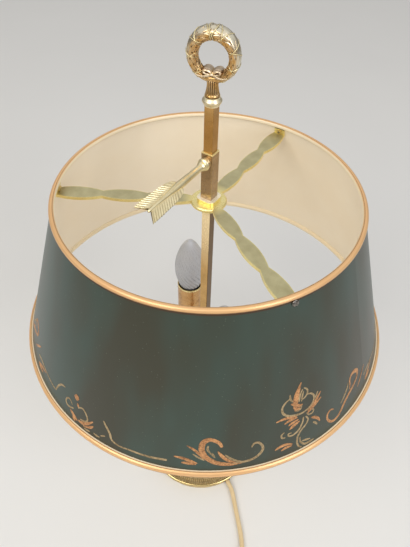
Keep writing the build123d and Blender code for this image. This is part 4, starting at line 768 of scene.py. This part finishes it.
# The large spray's crown, open bell, leaves, stem, foot and the leaves beside it
BLOOM = [
    [(-5.2, 52, 1.4), (-5.0, 60, 4.0), (-3.4, 69, 4.2), (1.0, 79.5, 0.8)],
    [(-1.6, 60.5, 0.8), (-0.4, 67, 1.5), (2.3, 72, 0.7)],
    [(0.6, 59.5, 0.7), (1.7, 65, 1.3), (3.2, 69.5, 0.6)],
    [(3.4, 72.8, 0.8), (6.6, 69.4, 1.3), (6.6, 65.4, 1.4), (4.4, 62.4, 1.2), (1.0, 61.4, 0.8)],
    [(-9.6, 72, 0.8), (-9.6, 67.6, 1.6), (-7.4, 63, 0.9)],
    [(-9.8, 67.6, 0.8), (-14.2, 65.2, 1.3), (-17.4, 60.5, 1.6), (-16.6, 54.8, 1.8), (-12, 50.4, 1.7),
     (-5.6, 48, 1.6), (1.6, 47, 1.5), (8.2, 49, 1.5), (12.6, 53, 1.5), (13.6, 58.2, 1.4), (10.8, 62.6, 1.3),
     (6.4, 64.4, 0.8)],
    [(-9.4, 62, 0.8), (-5, 58.6, 2.6), (-0.6, 56, 2.2), (1.8, 56.6, 0.8)],
    [(-7.4, 57.2, 0.8), (-4.2, 54, 2.4), (-0.4, 52.8, 1.6)],
    [(-5.6, 54.2, 0.7), (-3.4, 51.6, 1.1), (-0.2, 52.4, 1.2), (0.4, 55.2, 1.0), (-2.6, 56.4, 0.7)],
    [(21, 59, 0.7), (17.6, 54.6, 2.2), (12.6, 49.6, 2.6), (6.6, 45.8, 1.2)],
    [(17.8, 61, 0.7), (16, 57.4, 1.6), (13.4, 54, 0.8)],
    [(21.6, 52.4, 0.7), (16.6, 49.6, 2.0), (11, 46.4, 2.2), (6, 43.8, 0.9)],
    [(5.6, 44.6, 0.7), (7.6, 41.6, 1.2), (11, 41, 1.3), (13, 43.2, 1.2), (11.4, 46, 0.9)],
    [(-23.6, 48, 0.7), (-18, 48.8, 2.0), (-11, 48.2, 2.4), (-4, 46.4, 0.9)],
    [(-16.4, 43, 0.7), (-10.4, 45, 2.6), (-3.6, 44.6, 0.9)],
    [(-12.8, 39.4, 0.7), (-8.6, 41, 2.2), (-2.6, 42, 0.8)],
    [(-12, 34.8, 0.7), (-7.6, 37.4, 3.0), (-1.6, 39.6, 0.9)],
    [(2.2, 42, 1.0), (1.2, 36.6, 1.4), (-2.6, 30.4, 1.6), (-7.9, 27.4, 1.5), (-12.4, 27.8, 1.3),
     (-13, 30.6, 1.1), (-9.7, 30.4, 0.7)],
    [(-16.6, 34.2, 0.7), (-19.4, 32, 1.3), (-19, 28.6, 1.3), (-16, 27.9, 0.7)],
    [(4.6, 41.4, 0.9), (6.9, 36.6, 1.4), (4.4, 32.2, 1.4), (-0.4, 28.4, 1.5), (-4.0, 23.3, 1.6),
     (-5.0, 16.4, 1.5), (-3.4, 11, 1.3), (-0.6, 8.6, 0.9)],
    [(-1.9, 21.5, 0.7), (-1.6, 15.4, 1.4), (2.6, 10.4, 1.8), (8, 9.8, 2.0), (13, 10, 0.7)],
    [(0, 15.4, 0.7), (4, 14.4, 1.8), (9, 12.8, 0.7)],
    [(-26.4, 17.4, 0.8), (-21, 19.6, 2.4), (-15, 19.4, 2.2), (-9.4, 17, 0.7)],
    [(-21, 14.4, 0.8), (-15.6, 16, 2.2), (-10, 15.6, 0.7)],
    [(10, 36.5, 0.7), (13.6, 34.6, 2.2), (17.8, 30.6, 2.1), (20, 26, 0.7)],
    [(12, 30.2, 0.7), (14.6, 27.8, 1.7), (17, 24.2, 0.7)],
]
# The small spray between two large ones: bud, two open loops, leaves, and a long stroke on each side
BUD = [
    [(-6.8, 40, 2.0), (-6.2, 37, 5.4), (-5.4, 33.4, 2.0)],
    [(-4.6, 31.4, 1.4), (-3.6, 29.2, 2.2), (-3.2, 27.6, 1.2)],
    [(-8.6, 22, 0.9), (-12.3, 20, 1.3), (-17, 19, 1.5), (-19.6, 21.5, 1.4), (-18.8, 25.6, 1.3),
     (-16, 28, 1.2), (-13, 26.9, 1.0), (-10.6, 24, 0.8)],
    [(-3.5, 26.4, 0.9), (-0.5, 29, 1.2), (2.5, 29.9, 1.4), (6.2, 27.2, 1.5), (8.8, 22.7, 1.5),
     (8.2, 19.2, 1.4), (5.2, 17.2, 1.3), (0.3, 16, 1.0)],
    [(-13.4, 17.4, 0.9), (-9.6, 15.4, 3.0), (-5.4, 12.8, 2.6), (-2.4, 11.2, 0.8)],
    [(-8.8, 13, 0.8), (-7.4, 10.6, 2.2), (-5.2, 9, 0.8)],
    [(-1.9, 12.8, 1.2), (3.4, 13.6, 3.0), (9.4, 17.4, 2.6), (15, 23.8, 0.8)],
    [(16, 19, 0.8), (13.2, 15.8, 2.4), (9, 12.8, 1.2), (4.6, 11.4, 0.8)],
    [(6, 9.6, 0.7), (9.4, 9.6, 1.6), (13, 10.4, 0.7)],
    [(17, 11.9, 0.7), (20.4, 11, 1.6), (24, 11.4, 0.7)],
    [(24.6, 13.6, 0.7), (27, 15.2, 1.4), (29.2, 16.4, 0.7)],
    [(25.4, 32.6, 0.8), (27.4, 29.6, 1.6), (30.4, 26, 1.9), (33.6, 21.4, 1.9), (36.2, 16, 1.5),
     (43.7, 13.4, 1.3), (54.2, 14, 1.4), (63.4, 13.7, 1.7), (72.4, 13.8, 1.9), (80, 14.4, 1.9),
     (87, 14.8, 1.9)],
    [(-22.4, 35.4, 0.9), (-26, 34.6, 1.5), (-29.4, 32.4, 1.6), (-32.4, 28.8, 1.5), (-35, 23.9, 1.4),
     (-37.4, 20, 1.4), (-46.4, 20.8, 1.4), (-58.3, 23, 1.6), (-70, 24.2, 1.9), (-79, 22.6, 1.6)],
]


class LAMP_OT_ornament(bpy.types.Operator):
    """Paints the gold sprays and scrolls round the shade's lower edge"""
    bl_idname = "lamp.ornament"
    bl_label = "Shade Ornament"

    def execute(self, context):
        sprays = context.scene.lamp_ornament.sprays
        petals, lines = ([], []), ([], [])
        for n in range(sprays):
            large = FIRST_SPRAY + 2 * pi * n / sprays
            small = large - pi / sprays + SMALL_SPRAY_LEAN
            for middle, strokes in ((large, BLOOM + SCROLL_LEFT + SCROLL_RIGHT), (small, BUD)):
                for stroke in strokes:
                    drawn = petals if max(width for _, _, width in stroke) > BROAD_STROKE else lines
                    brush_stroke(*drawn, middle, stroke)
        shell_gold("copper_shell_gold", "#DCA26C", "#A4734A", "#5A4834")
        shell_gold("pale_shell_gold", "#C0A880", "#957E5A", "#5E5642")
        mesh_piece("shade_ornament_petals", *petals, "copper_shell_gold", "shade_carrier", "rim_gold")
        mesh_piece("shade_ornament_lines", *lines, "pale_shell_gold", "shade_carrier", "rim_gold")
        return {"FINISHED"}


class LAMP_OT_screws(bpy.types.Operator):
    """Models the three slotted screws that hold the shade to its carrier"""
    bl_idname = "lamp.screws"
    bl_label = "Shade Screws"

    def execute(self, context):
        # (radius, height) in millimetres, from the shank's end out to the head's crown
        head, shank, foot, edge, crown = 2.9, 1.25, -3.8, 0.7, 1.9
        slot_half, slot_depth, around = 0.5, 0.9, 48
        outline = [(0.0, foot), (shank, foot), (shank, 0.0), (head, 0.0)]
        for i in range(10):
            rise = pi / 2 * i / 10
            outline.append((head * cos(rise), edge + (crown - edge) * sin(rise)))
        outline.append((0.0, crown))
        vertices, faces = [], []
        for n in range(3):
            turn = ARM_TURN + 2 * pi * n / 3
            out = Vector((cos(turn), sin(turn), SHADE_SPREAD)).normalized()
            level = Vector((-sin(turn), cos(turn), 0))
            upright = out.cross(level)
            seat = on_shade(turn, 0, SCREW_HEIGHT - SHADE_LOW, 0)
            rows = []
            for radius, height in outline:
                row = []
                for j in range(around):
                    across, along = radius * cos(2 * pi * j / around), radius * sin(2 * pi * j / around)
                    slot = slot_depth if height > edge + 0.1 and abs(across) < slot_half else 0.0
                    row.append(seat + (level * across + upright * along + out * (height - slot)) * MM)
                rows.append(row)
            add_grid(vertices, faces, rows, closed=True)
        screws = mesh_piece("slotted_screws", vertices, faces, "blackened_screw_steel", "shade_carrier",
                            "dark_screw")
        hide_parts("shade_screws")
        return {"FINISHED"}


# ---------------------------------------------------------------- finial
ACROSS = Vector((cos(WREATH_TURN), sin(WREATH_TURN), 0))
FRONT = Vector((sin(WREATH_TURN), -cos(WREATH_TURN), 0))


def on_ring(turn, around, lift=0.0):
    """Place on the wreath: turn from its foot, around its section from the outside, height above its surface.

    The ring is thicker at its crown than at its foot, and deeper from front to back than it is thick."""
    half = WREATH_FOOT + (WREATH_CROWN - WREATH_FOOT) * (1 - cos(turn)) / 2
    out = ACROSS * sin(turn) - Vector((0, 0, cos(turn)))
    return (WREATH_CENTRE + out * (WREATH_OUTER - half + (half + lift) * cos(around))
            + FRONT * ((WREATH_DEPTH * half + lift) * sin(around)))


def wreath_core(vertices, faces):
    """The ring under the leaves."""
    rows = [[on_ring(2 * pi * i / 96, 2 * pi * j / 24, -0.1 * MM) for j in range(24)] for i in range(97)]
    add_grid(vertices, faces, rows, closed=True, flip=True)


def laurel_leaf(vertices, faces, side, turn, around, length, width):
    """A long pointed leaf pressed on the ring, with a grooved midrib and its tip just clear of the next."""
    rows = []
    for i in range(11):
        along = i / 10
        half = width / 2 * sin(pi * (0.08 + 0.92 * along) ** 0.8) ** 0.8 if i < 10 else 0.05 * MM
        row = []
        for j in range(-4, 5):
            share = j / 4
            groove = 0.4 * exp(-(share / 0.22) ** 2) * (1 - 0.6 * along)
            place = around + share * half / (5 * MM)
            # the leaves are worn down round the outside
            relief = 0.5 + 0.8 * min(1, 1 - cos(place))
            lift = (0.12 + 0.42 * along - 0.5 * share ** 2 - groove) * relief * MM
            row.append(on_ring(side * (turn + along * length / WREATH_OUTER), place, lift))
        rows.append(row)
    add_grid(vertices, faces, rows, flip=side > 0)


def ribbon(vertices, faces, side, first, last, way, phase, width):
    """A narrow band wound round the ring from one turn to another."""
    rows = []
    count = round(degrees(last - first))
    for i in range(count + 1):
        turn = first + (last - first) * i / count
        around = phase + way * WINDINGS * turn
        row = []
        for share in ACROSS_BAND:
            # across the band is along the ring, because the windings lie nearly round its section
            lift = (0.2 + 0.4 * (1 - share * share)) * MM
            row.append(on_ring(side * (turn + share * width / 2 / WREATH_OUTER), side * around, lift))
        rows.append(row)
    add_grid(vertices, faces, rows, flip=(side * way) < 0)


def crown_binding(vertices, faces, width):
    """Two bands crossed over the wreath's crown, where the leaves of both halves meet."""
    for start in (-9, 9):
        rows = []
        for i in range(41):
            around = 2 * pi * i / 40
            middle = pi + radians(start) * cos(around)
            rows.append([on_ring(middle + share * width / 2 / WREATH_OUTER, around,
                                 (0.6 - 0.3 * share ** 2) * MM) for share in ACROSS_BAND])
        add_grid(vertices, faces, rows)


def rope(vertices, faces, path, halves, gathers=0.0, square=0.6):
    """A smooth solid band along a path, with closed ends; halves are its half thickness and its half depth.

    Gathers is the height of the folds that run along a broad band, as a share of its thickness; a square of 1
    gives it an oval section, and less a boxier one."""
    sides = 36
    rows = []
    for n, (place, (thick, deep)) in enumerate(zip(path, halves)):
        along = (path[min(n + 1, len(path) - 1)] - path[max(n - 1, 0)]).normalized()
        first = along.cross(FRONT).normalized()
        second = along.cross(first)
        row = []
        for j in range(sides):
            c, s = cos(2 * pi * j / sides), sin(2 * pi * j / sides)
            across = copysign(abs(s) ** square, s)
            fold = thick * (1 + gathers * cos(5 * pi * across))
            row.append(place + first * (fold * copysign(abs(c) ** square, c)) + second * (deep * across))
        rows.append(row)
    add_grid(vertices, faces, rows, closed=True)
    for row, flip in ((rows[0], False), (rows[-1], True)):
        start = len(vertices)
        vertices.extend(row)
        faces.append(tuple(range(start, start + sides))[::1 if flip else -1])


def bow(vertices, faces):
    """A ribbon bow over the wreath's foot: two loops nearly as deep as the wreath, a knot, and four tails."""
    foot = WREATH_CENTRE - Vector((0, 0, WREATH_OUTER - 2 * WREATH_FOOT))
    # (sideways, up, half depth) in millimetres round one loop
    outline = [(0.4, 0.2, 4.0), (1.3, 1.9, 4.8), (3.2, 3.0, 5.2), (5.3, 3.1, 5.2), (6.5, 2.1, 5.0),
               (5.7, 0.9, 4.8), (3.8, 0.2, 4.6), (2.0, -0.2, 4.4), (0.4, -0.3, 4.0)]
    for side in (-1, 1):
        loop = smooth_path(outline, 0.6)
        path = [foot + ACROSS * (side * x * MM) + Vector((0, 0, z * MM)) for x, z, _ in loop]
        rope(vertices, faces, path, [(1.2 * MM, deep * MM) for _, _, deep in loop], gathers=0.3, square=0.9)
        # two tails run out along the ring on each side, one on each face
        for face_side in (-1, 1):
            path, halves = [], []
            for share in [i / 16 for i in range(17)]:
                path.append(on_ring(side * (0.06 + 0.66 * share), face_side * (2.5 - 1.35 * share), 0.5 * MM))
                halves.append(((0.85 - 0.3 * share) * MM, (0.7 - 0.2 * share) * MM))
            rope(vertices, faces, path, halves)
    # the knot
    path, halves = [], []
    for rise in [i / 12 for i in range(13)]:
        swell = sin(pi * rise)
        path.append(foot + Vector((0, 0, (-1.2 + 3.2 * rise) * MM)))
        halves.append(((0.7 + 0.9 * swell) * MM, (3.8 + 1.6 * swell) * MM))
    rope(vertices, faces, path, halves, gathers=0.2)


def reeded_neck(vertices, faces):
    """The neck: a sheaf of eighteen round stems that spreads a little to its foot."""
    # (height, radius) in millimetres
    outline = [(0.0, 5.2), (0.5, 5.7), (1.2, 5.8), (1.8, 5.5), (3.4, 5.1), (6.0, 4.6), (8.6, 4.3),
               (10.6, 4.5), (12.0, 5.0), (12.9, 4.5), (13.6, 3.2)]
    sections = []
    for height, radius in smooth_path(outline, 0.35):
        depth = 0.75 * min(1, max(0.0, height - 1.6) / 1.2)
        sections.append((NECK_BASE + height * MM, radius * MM, depth * MM, 0.0))
    add_grid(vertices, faces, ribbed_rows(sections, ribs=18, facets=10, sharpness=0.7), closed=True)


class LAMP_OT_finial(bpy.types.Operator):
    """Models the laurel wreath, its wound ribbon, bow and reeded neck"""
    bl_idname = "lamp.finial"
    bl_label = "Finial"

    def execute(self, context):
        settings = context.scene.lamp_finial
        vertices, faces, reflection_bands, tie = [], [], ([], []), ([], [])
        wreath_core(vertices, faces)
        first, last = radians(12), radians(178)
        for side in (-1, 1):
            for row in range(settings.rows):
                turn = first + (last - first - settings.leaf / WREATH_OUTER) * row / (settings.rows - 1)
                for n in range(settings.around):
                    around = 2 * pi * (n + 0.5 * (row % 2)) / settings.around
                    laurel_leaf(vertices, faces, side, turn, around, settings.leaf, LEAF_WIDTH)
            for way in (-1, 1):
                # both bands cross on the front at the same turns, three times between foot and crown
                phase = pi / 2 - way * WINDINGS * RIBBON_CROSSING
                ribbon(*reflection_bands, side, radians(22), radians(176), way, phase, settings.ribbon)
        crown_binding(*reflection_bands, settings.ribbon)
        reeded_neck(vertices, faces)
        bow(*tie)
        wreath = mesh_piece("wreath_finial", vertices, faces, "gilt_casting_painted_highlight", "stand", "cast_brass")
        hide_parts("finial")
        mesh_piece("wreath_ribbons", *reflection_bands, "pale_cast_brass", "stand", "cast_brass")
        mesh_piece("wreath_bow", *tie, "silvered_cast_brass", "stand", "cast_brass")
        return {"FINISHED"}


# ---------------------------------------------------------------- clamp key
def along_key(distance, across, up):
    """Place on the clamp key: distance from the rod's axis, and two offsets in the feathers' own frame."""
    x_way = Vector((cos(KEY_TILT), 0, sin(KEY_TILT)))
    z_way = Vector((-sin(KEY_TILT), 0, cos(KEY_TILT)))
    return Vector((0, -distance, KEY_HEIGHT)) + x_way * across + z_way * up


def key_shaft(vertices, faces):
    """Turned rings and the tapered shaft that runs on as the feathers' quill."""
    # (distance from the rod's axis, radius) in millimetres
    outline = [(4.6, 0.0), (4.6, 2.0), (8.8, 2.4), (8.9, 4.8), (9.3, 5.3), (9.9, 5.4), (10.6, 5.1),
               (11.0, 4.2), (11.5, 3.6), (12.1, 3.8), (12.7, 4.1), (13.4, 4.0), (14.2, 3.4), (15, 3.0),
               (24, 2.9), (36, 3.2), (44, 3.4), (50, 3.0), (56, 2.3), (66, 1.8), (80.5, 1.4), (82.2, 0.9),
               (82.6, 0.0)]
    turns = [2 * pi * j / 32 for j in range(32)]
    add_grid(vertices, faces, [
        [along_key(distance * MM, radius * MM * cos(turn), radius * MM * sin(turn)) for turn in turns]
        for distance, radius in outline], closed=True)


def vane_reach(share):
    """How far a feather reaches from the quill: a round shoulder, then nearly straight to the tail."""
    # (share of its length, reach in millimetres)
    outline = [(0.0, 4.4), (0.04, 6.6), (0.1, 8.0), (0.22, 8.9), (0.6, 9.4), (1.0, 9.6)]
    for (s0, r0), (s1, r1) in zip(outline, outline[1:]):
        if share <= s1:
            return (r0 + (r1 - r0) * (share - s0) / (s1 - s0)) * MM
    return outline[-1][1] * MM


def feather(vertices, faces, side, barbs, groove):
    """One feather: slanting barbs, a sawn edge and a swallow tail, closed above and below."""
    lengthways, crossways = 72, 10
    length = ARROW_END - FEATHER_START - ARROW_NOTCH        # along the quill
    for face_side in (-1, 1):
        rows = []
        for i in range(lengthways + 1):
            reach = vane_reach(i / lengthways)
            # the grooves end just short of the tail
            base = (length - 0.6 * MM) * i / lengthways
            saw = base / length * barbs % 1
            # the barbs slant back, less so over the first fifth
            slant = 0.75 * reach * min(1, 0.25 + 0.75 * (1 + i) / (lengthways / 5))
            row = []
            for j in range(crossways + 1):
                out = j / crossways
                trim = 1 - 0.06 * out * (1 - saw) if i < lengthways else 1
                distance = min(FEATHER_START - 1.5 * MM + base + slant * out,
                               ARROW_END - (1 - out) * ARROW_NOTCH)
                ridge = groove * (0.5 - abs(2 * saw - 1) ** 1.5) * min(1, 2.5 * out)
                up = max((1.05 - 0.35 * out) * MM + ridge, 0.25 * MM)
                row.append(along_key(distance, side * (QUILL + (reach - QUILL) * out * trim), face_side * up))
            rows.append(row)
        add_grid(vertices, faces, rows, flip=(side * face_side) > 0)


class LAMP_OT_arrow(bpy.types.Operator):
    """Models the clamp key as an arrow with barbed feathers"""
    bl_idname = "lamp.arrow"
    bl_label = "Arrow Key"

    def execute(self, context):
        settings = context.scene.lamp_arrow
        vertices, faces = [], []
        key_shaft(vertices, faces)
        for side in (-1, 1):
            feather(vertices, faces, side, settings.barbs, settings.groove)
        arrow = mesh_piece("arrow_key_cast", vertices, faces, "pale_cast_brass", "clamp_key", "cast_brass")
        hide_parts("arrow_key")
        return {"FINISHED"}


# ---------------------------------------------------------------- bulbs and base
def bulb_outline(count):
    """(height, radius) pairs from the neck over the belly to the tip."""
    # two Bezier curves, of (radius, height) points
    lower = [(CAP_RADIUS, CAP_TOP), (11.55 * MM, 305.4 * MM), (BULB_RADIUS, 322.6 * MM),
             (BULB_RADIUS, BULB_BELLY)]
    upper = [(BULB_RADIUS, BULB_BELLY), (BULB_RADIUS, 358.4 * MM), (5.4 * MM, BULB_TIP), (0.0, BULB_TIP)]
    outline = []
    for a, b, c, d in (lower, upper):
        for n in range(count):
            t = n / count
            weights = ((1 - t) ** 3, 3 * t * (1 - t) ** 2, 3 * t * t * (1 - t), t ** 3)
            outline.append(tuple(sum(w * p[k] for w, p in zip(weights, (a, b, c, d))) for k in (1, 0)))
    outline.append((BULB_TIP, 0.0))
    return outline


class LAMP_OT_bulbs(bpy.types.Operator):
    """Models the two twisted candle bulbs"""
    bl_idname = "lamp.bulbs"
    bl_label = "Candle Bulbs"

    def execute(self, context):
        settings = context.scene.lamp_bulb
        sections = []
        for height, radius in bulb_outline(22):
            share = (height - CAP_TOP) / (BULB_TIP - CAP_TOP)
            depth = settings.depth * min(1, share * 5) * max(0.0, 1 - share) ** 0.7
            sections.append((height, radius, depth, settings.twist * share))
        upright = ribbed_rows(sections, settings.ribs, facets=8, sharpness=0.7)
        for number in (1, 2):
            turn = CANDLE_TURN + pi * (number - 1)
            axis = Vector((CANDLE_RADIUS * cos(turn), CANDLE_RADIUS * sin(turn), 0))
            vertices, faces = [], []
            add_grid(vertices, faces, [[axis + point for point in row] for row in upright], closed=True)
            bulb = mesh_piece(f"twisted_bulb_{number}", vertices, faces, "acid_etched_glass", "stand",
                              "frosted_glass")
            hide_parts(f"bulb_glass_{number}")
        return {"FINISHED"}


class LAMP_OT_base_band(bpy.types.Operator):
    """Adds the band of fine beads round the base's flank"""
    bl_idname = "lamp.base_band"
    bl_label = "Base Band"

    def execute(self, context):
        # beads of about two millimetres are drawn half as large again, so that they show
        beads, depth = 156, 1.3
        # (height, radius under the beads) in millimetres; the beads die out at both edges
        outline = [(13.7, 77.2), (14.3, 77.1), (15.6, 75.6), (17.4, 73.9), (19.4, 72.7), (21.4, 72.1),
                   (22.2, 72.0)]
        sections = []
        for index, (height, radius) in enumerate(outline):
            proud = 0.0 if index in (0, len(outline) - 1) else depth
            sections.append((height * MM, (radius + 0.15 + proud) * MM, proud * MM, 0.0))
        vertices, faces = [], []
        add_grid(vertices, faces, ribbed_rows(sections, beads, facets=6, sharpness=1.0), closed=True)
        mesh_piece("base_fluted_band", vertices, faces, "pressed_bead_brass", "stand", "spun_brass")
        return {"FINISHED"}


# ---------------------------------------------------------------- finishes and stage
class LAMP_OT_finishes(bpy.types.Operator):
    """Puts each CAD part's finish in its material slot"""
    bl_idname = "lamp.finishes"
    bl_label = "Finishes"

    def execute(self, context):
        finishes = slot_materials()
        # nodes whose finish differs from their slot's
        special = {
            "finial": finial_brass(), "shade_spider": spider_brass(),
            "finial_collar": brass("burnished_cast_brass", "#F0E4C2", "#C8B48C", 0.3, (1, 1, 1), 0.7, 0.05),
            # the sleeve is duller than the rod that it slides on, and hands keep the key pale
            "sliding_sleeve": brass("dulled_tube_brass", "#BAA284", "#806C50", 0.22, (6, 6, 0.35), 1.0, 0.03,
                                    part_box("sliding_sleeve")[1][2] - 1.0 * MM),
            "key_boss": brass("dulled_cast_brass", "#CDB184", "#8A7350", 0.24, (1, 1, 1), 0.7),
            "arrow_key": brass("pale_cast_brass", "#F4E7BE", "#BCAA78", 0.32, (1, 1, 1), 0.7, 0.09),
        }
        # the base's bead band and the wreath's bow take these two
        beaded_brass()
        brass("silvered_cast_brass", "#E2CDB2", "#947A5E", 0.3, (1, 1, 1), 1.4, 0.5)
        for subpart in frame["record"]["subparts"]:
            name = subpart["node"]
            finish = special.get(name) or finishes[subpart["material_slot"]]
            slots = frame["nodes"][name].material_slots
            if not slots:
                raise RuntimeError(f"{name} has no material slot")
            for slot in slots:
                slot.material = finish
        return {"FINISHED"}


def soft_light(name, azimuth, elevation, size, power, tint):
    """A rectangular soft light that faces the shade from an azimuth and elevation in degrees."""
    light = bpy.data.lights.new(name, "AREA")
    light.shape = "RECTANGLE"
    light.size, light.size_y = size
    light.energy = power
    light.color = colour(tint)[:3]
    lamp = bpy.data.objects.new(name, light)
    turn, rise = radians(azimuth), radians(elevation)
    way = Vector((cos(turn) * cos(rise), sin(turn) * cos(rise), sin(rise)))
    lamp.location = LIGHT_TARGET + way * LIGHT_DISTANCE
    lamp.rotation_euler = (-way).to_track_quat("-Z", "Y").to_euler()
    lamp.visible_camera = False
    bpy.context.scene.collection.objects.link(lamp)


class LAMP_OT_stage(bpy.types.Operator):
    """Sets the floor, the world, the lights and the camera"""
    bl_idname = "lamp.stage"
    bl_label = "Stage"

    def execute(self, context):
        scene, settings = context.scene, context.scene.lamp_stage
        camera = bpy.data.objects.new("camera", bpy.data.cameras.new("camera"))
        camera.data.lens = settings.lens
        camera.matrix_world = (
            Matrix.Translation(CAMERA_PLACE) @ Matrix.Rotation(CAMERA_TURN, 4, "Z")
            @ Matrix.Rotation(CAMERA_PITCH, 4, "X") @ Matrix.Rotation(CAMERA_ROLL, 4, "Z"))
        scene.collection.objects.link(camera)
        scene.camera = camera

        half = settings.floor / 2
        mesh = bpy.data.meshes.new("floor")
        corners = [(-half, -half, 0), (half, -half, 0), (half, half, 0), (-half, half, 0)]
        mesh.from_pydata(corners, [], [(0, 1, 2, 3)])
        material, tree, place = new_material("matt_paper_backdrop")
        clouds = node(tree, "TexNoise", {"Vector": place, "Scale": 3.0, "Detail": 2.0})
        tint = node(tree, "Mix", {0: clouds, 6: "#E8E6E2", 7: "#ECEAE6"}, data_type="RGBA")
        mesh.materials.append(finish_material(material, {"Base Color": tint, "Roughness": 0.9}))
        floor = bpy.data.objects.new("floor", mesh)
        scene.collection.objects.link(floor)

        # pale studio all round; a darker band near the horizon gives the polished metal something to reflect
        world = bpy.data.worlds.new("studio")
        world.use_nodes = True
        tree = world.node_tree
        tree.nodes.clear()
        way = node(tree, "SeparateXYZ", {0: node(tree, "TexCoord").outputs["Generated"]})
        height = node(tree, "MapRange", {"Value": way.outputs["Z"], "From Min": -0.2, "From Max": 1.0})
        ramp = node(tree, "ValToRGB", {"Fac": height})
        ramp.color_ramp.elements[0].position = 0.16
        ramp.color_ramp.elements[0].color = (0.16, 0.15, 0.14, 1)
        ramp.color_ramp.elements[1].position = 0.75
        ramp.color_ramp.elements[1].color = (0.95, 0.95, 0.95, 1)
        path = node(tree, "LightPath")
        mirrored = node(tree, "Background", {"Color": ramp, "Strength": 0.9})
        seen = node(tree, "Background", {"Color": "#F2F1EE", "Strength": 1.0})
        soft = node(tree, "Background", {"Color": (1, 1, 1, 1), "Strength": 0.52})
        glossy = node(tree, "MixShader", {0: path.outputs["Is Glossy Ray"], 1: soft, 2: mirrored})
        mixed = node(tree, "MixShader", {0: path.outputs["Is Camera Ray"], 1: glossy, 2: seen})
        node(tree, "OutputWorld", {"Surface": mixed})
        scene.world = world

        soft_light("key_light", -96, 42, (1.6, 1.6), settings.key_power, "#FFFDF8")
        soft_light("fill_light", -16, 34, (1.0, 2.2), settings.fill_power, "#F6F9FF")
        scene.view_settings.view_transform = "Standard"
        return {"FINISHED"}


OPERATORS = [LAMP_OT_stage, LAMP_OT_finishes, LAMP_OT_cord, LAMP_OT_ornament, LAMP_OT_screws, LAMP_OT_finial,
             LAMP_OT_arrow, LAMP_OT_bulbs, LAMP_OT_base_band]


class VIEW3D_PT_lamp(bpy.types.Panel):
    """The lamp's settings, and buttons that build its visible pieces"""
    bl_label = "Lamp"
    bl_idname = "VIEW3D_PT_lamp"
    bl_space_type = "VIEW_3D"
    bl_region_type = "UI"
    bl_category = "Lamp"

    def draw(self, context):
        for group, cls in SETTINGS.items():
            for setting in cls.__annotations__:
                self.layout.prop(getattr(context.scene, group), setting)
        for operator in OPERATORS:
            self.layout.operator(operator.bl_idname)


SETTINGS = {
    "lamp_finish": LampFinishSettings,
    "lamp_ornament": LampOrnamentSettings,
    "lamp_finial": LampFinialSettings,
    "lamp_arrow": LampArrowSettings,
    "lamp_bulb": LampBulbSettings,
    "lamp_stage": LampStageSettings,
}


def register():
    """Adds the settings, the operators and the panel to Blender."""
    for cls in [*SETTINGS.values(), *OPERATORS, VIEW3D_PT_lamp]:
        bpy.utils.register_class(cls)
    for name, cls in SETTINGS.items():
        setattr(bpy.types.Scene, name, PointerProperty(type=cls))


def unregister():
    """Takes them away again."""
    for name in SETTINGS:
        delattr(bpy.types.Scene, name)
    for cls in reversed([*SETTINGS.values(), *OPERATORS, VIEW3D_PT_lamp]):
        bpy.utils.unregister_class(cls)


def main():
    """Builds the visible model."""
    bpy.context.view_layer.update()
    register()
    for operator in OPERATORS:
        family, name = operator.bl_idname.split(".")
        getattr(getattr(bpy.ops, family), name)()


if __name__ == "__main__":
    main()
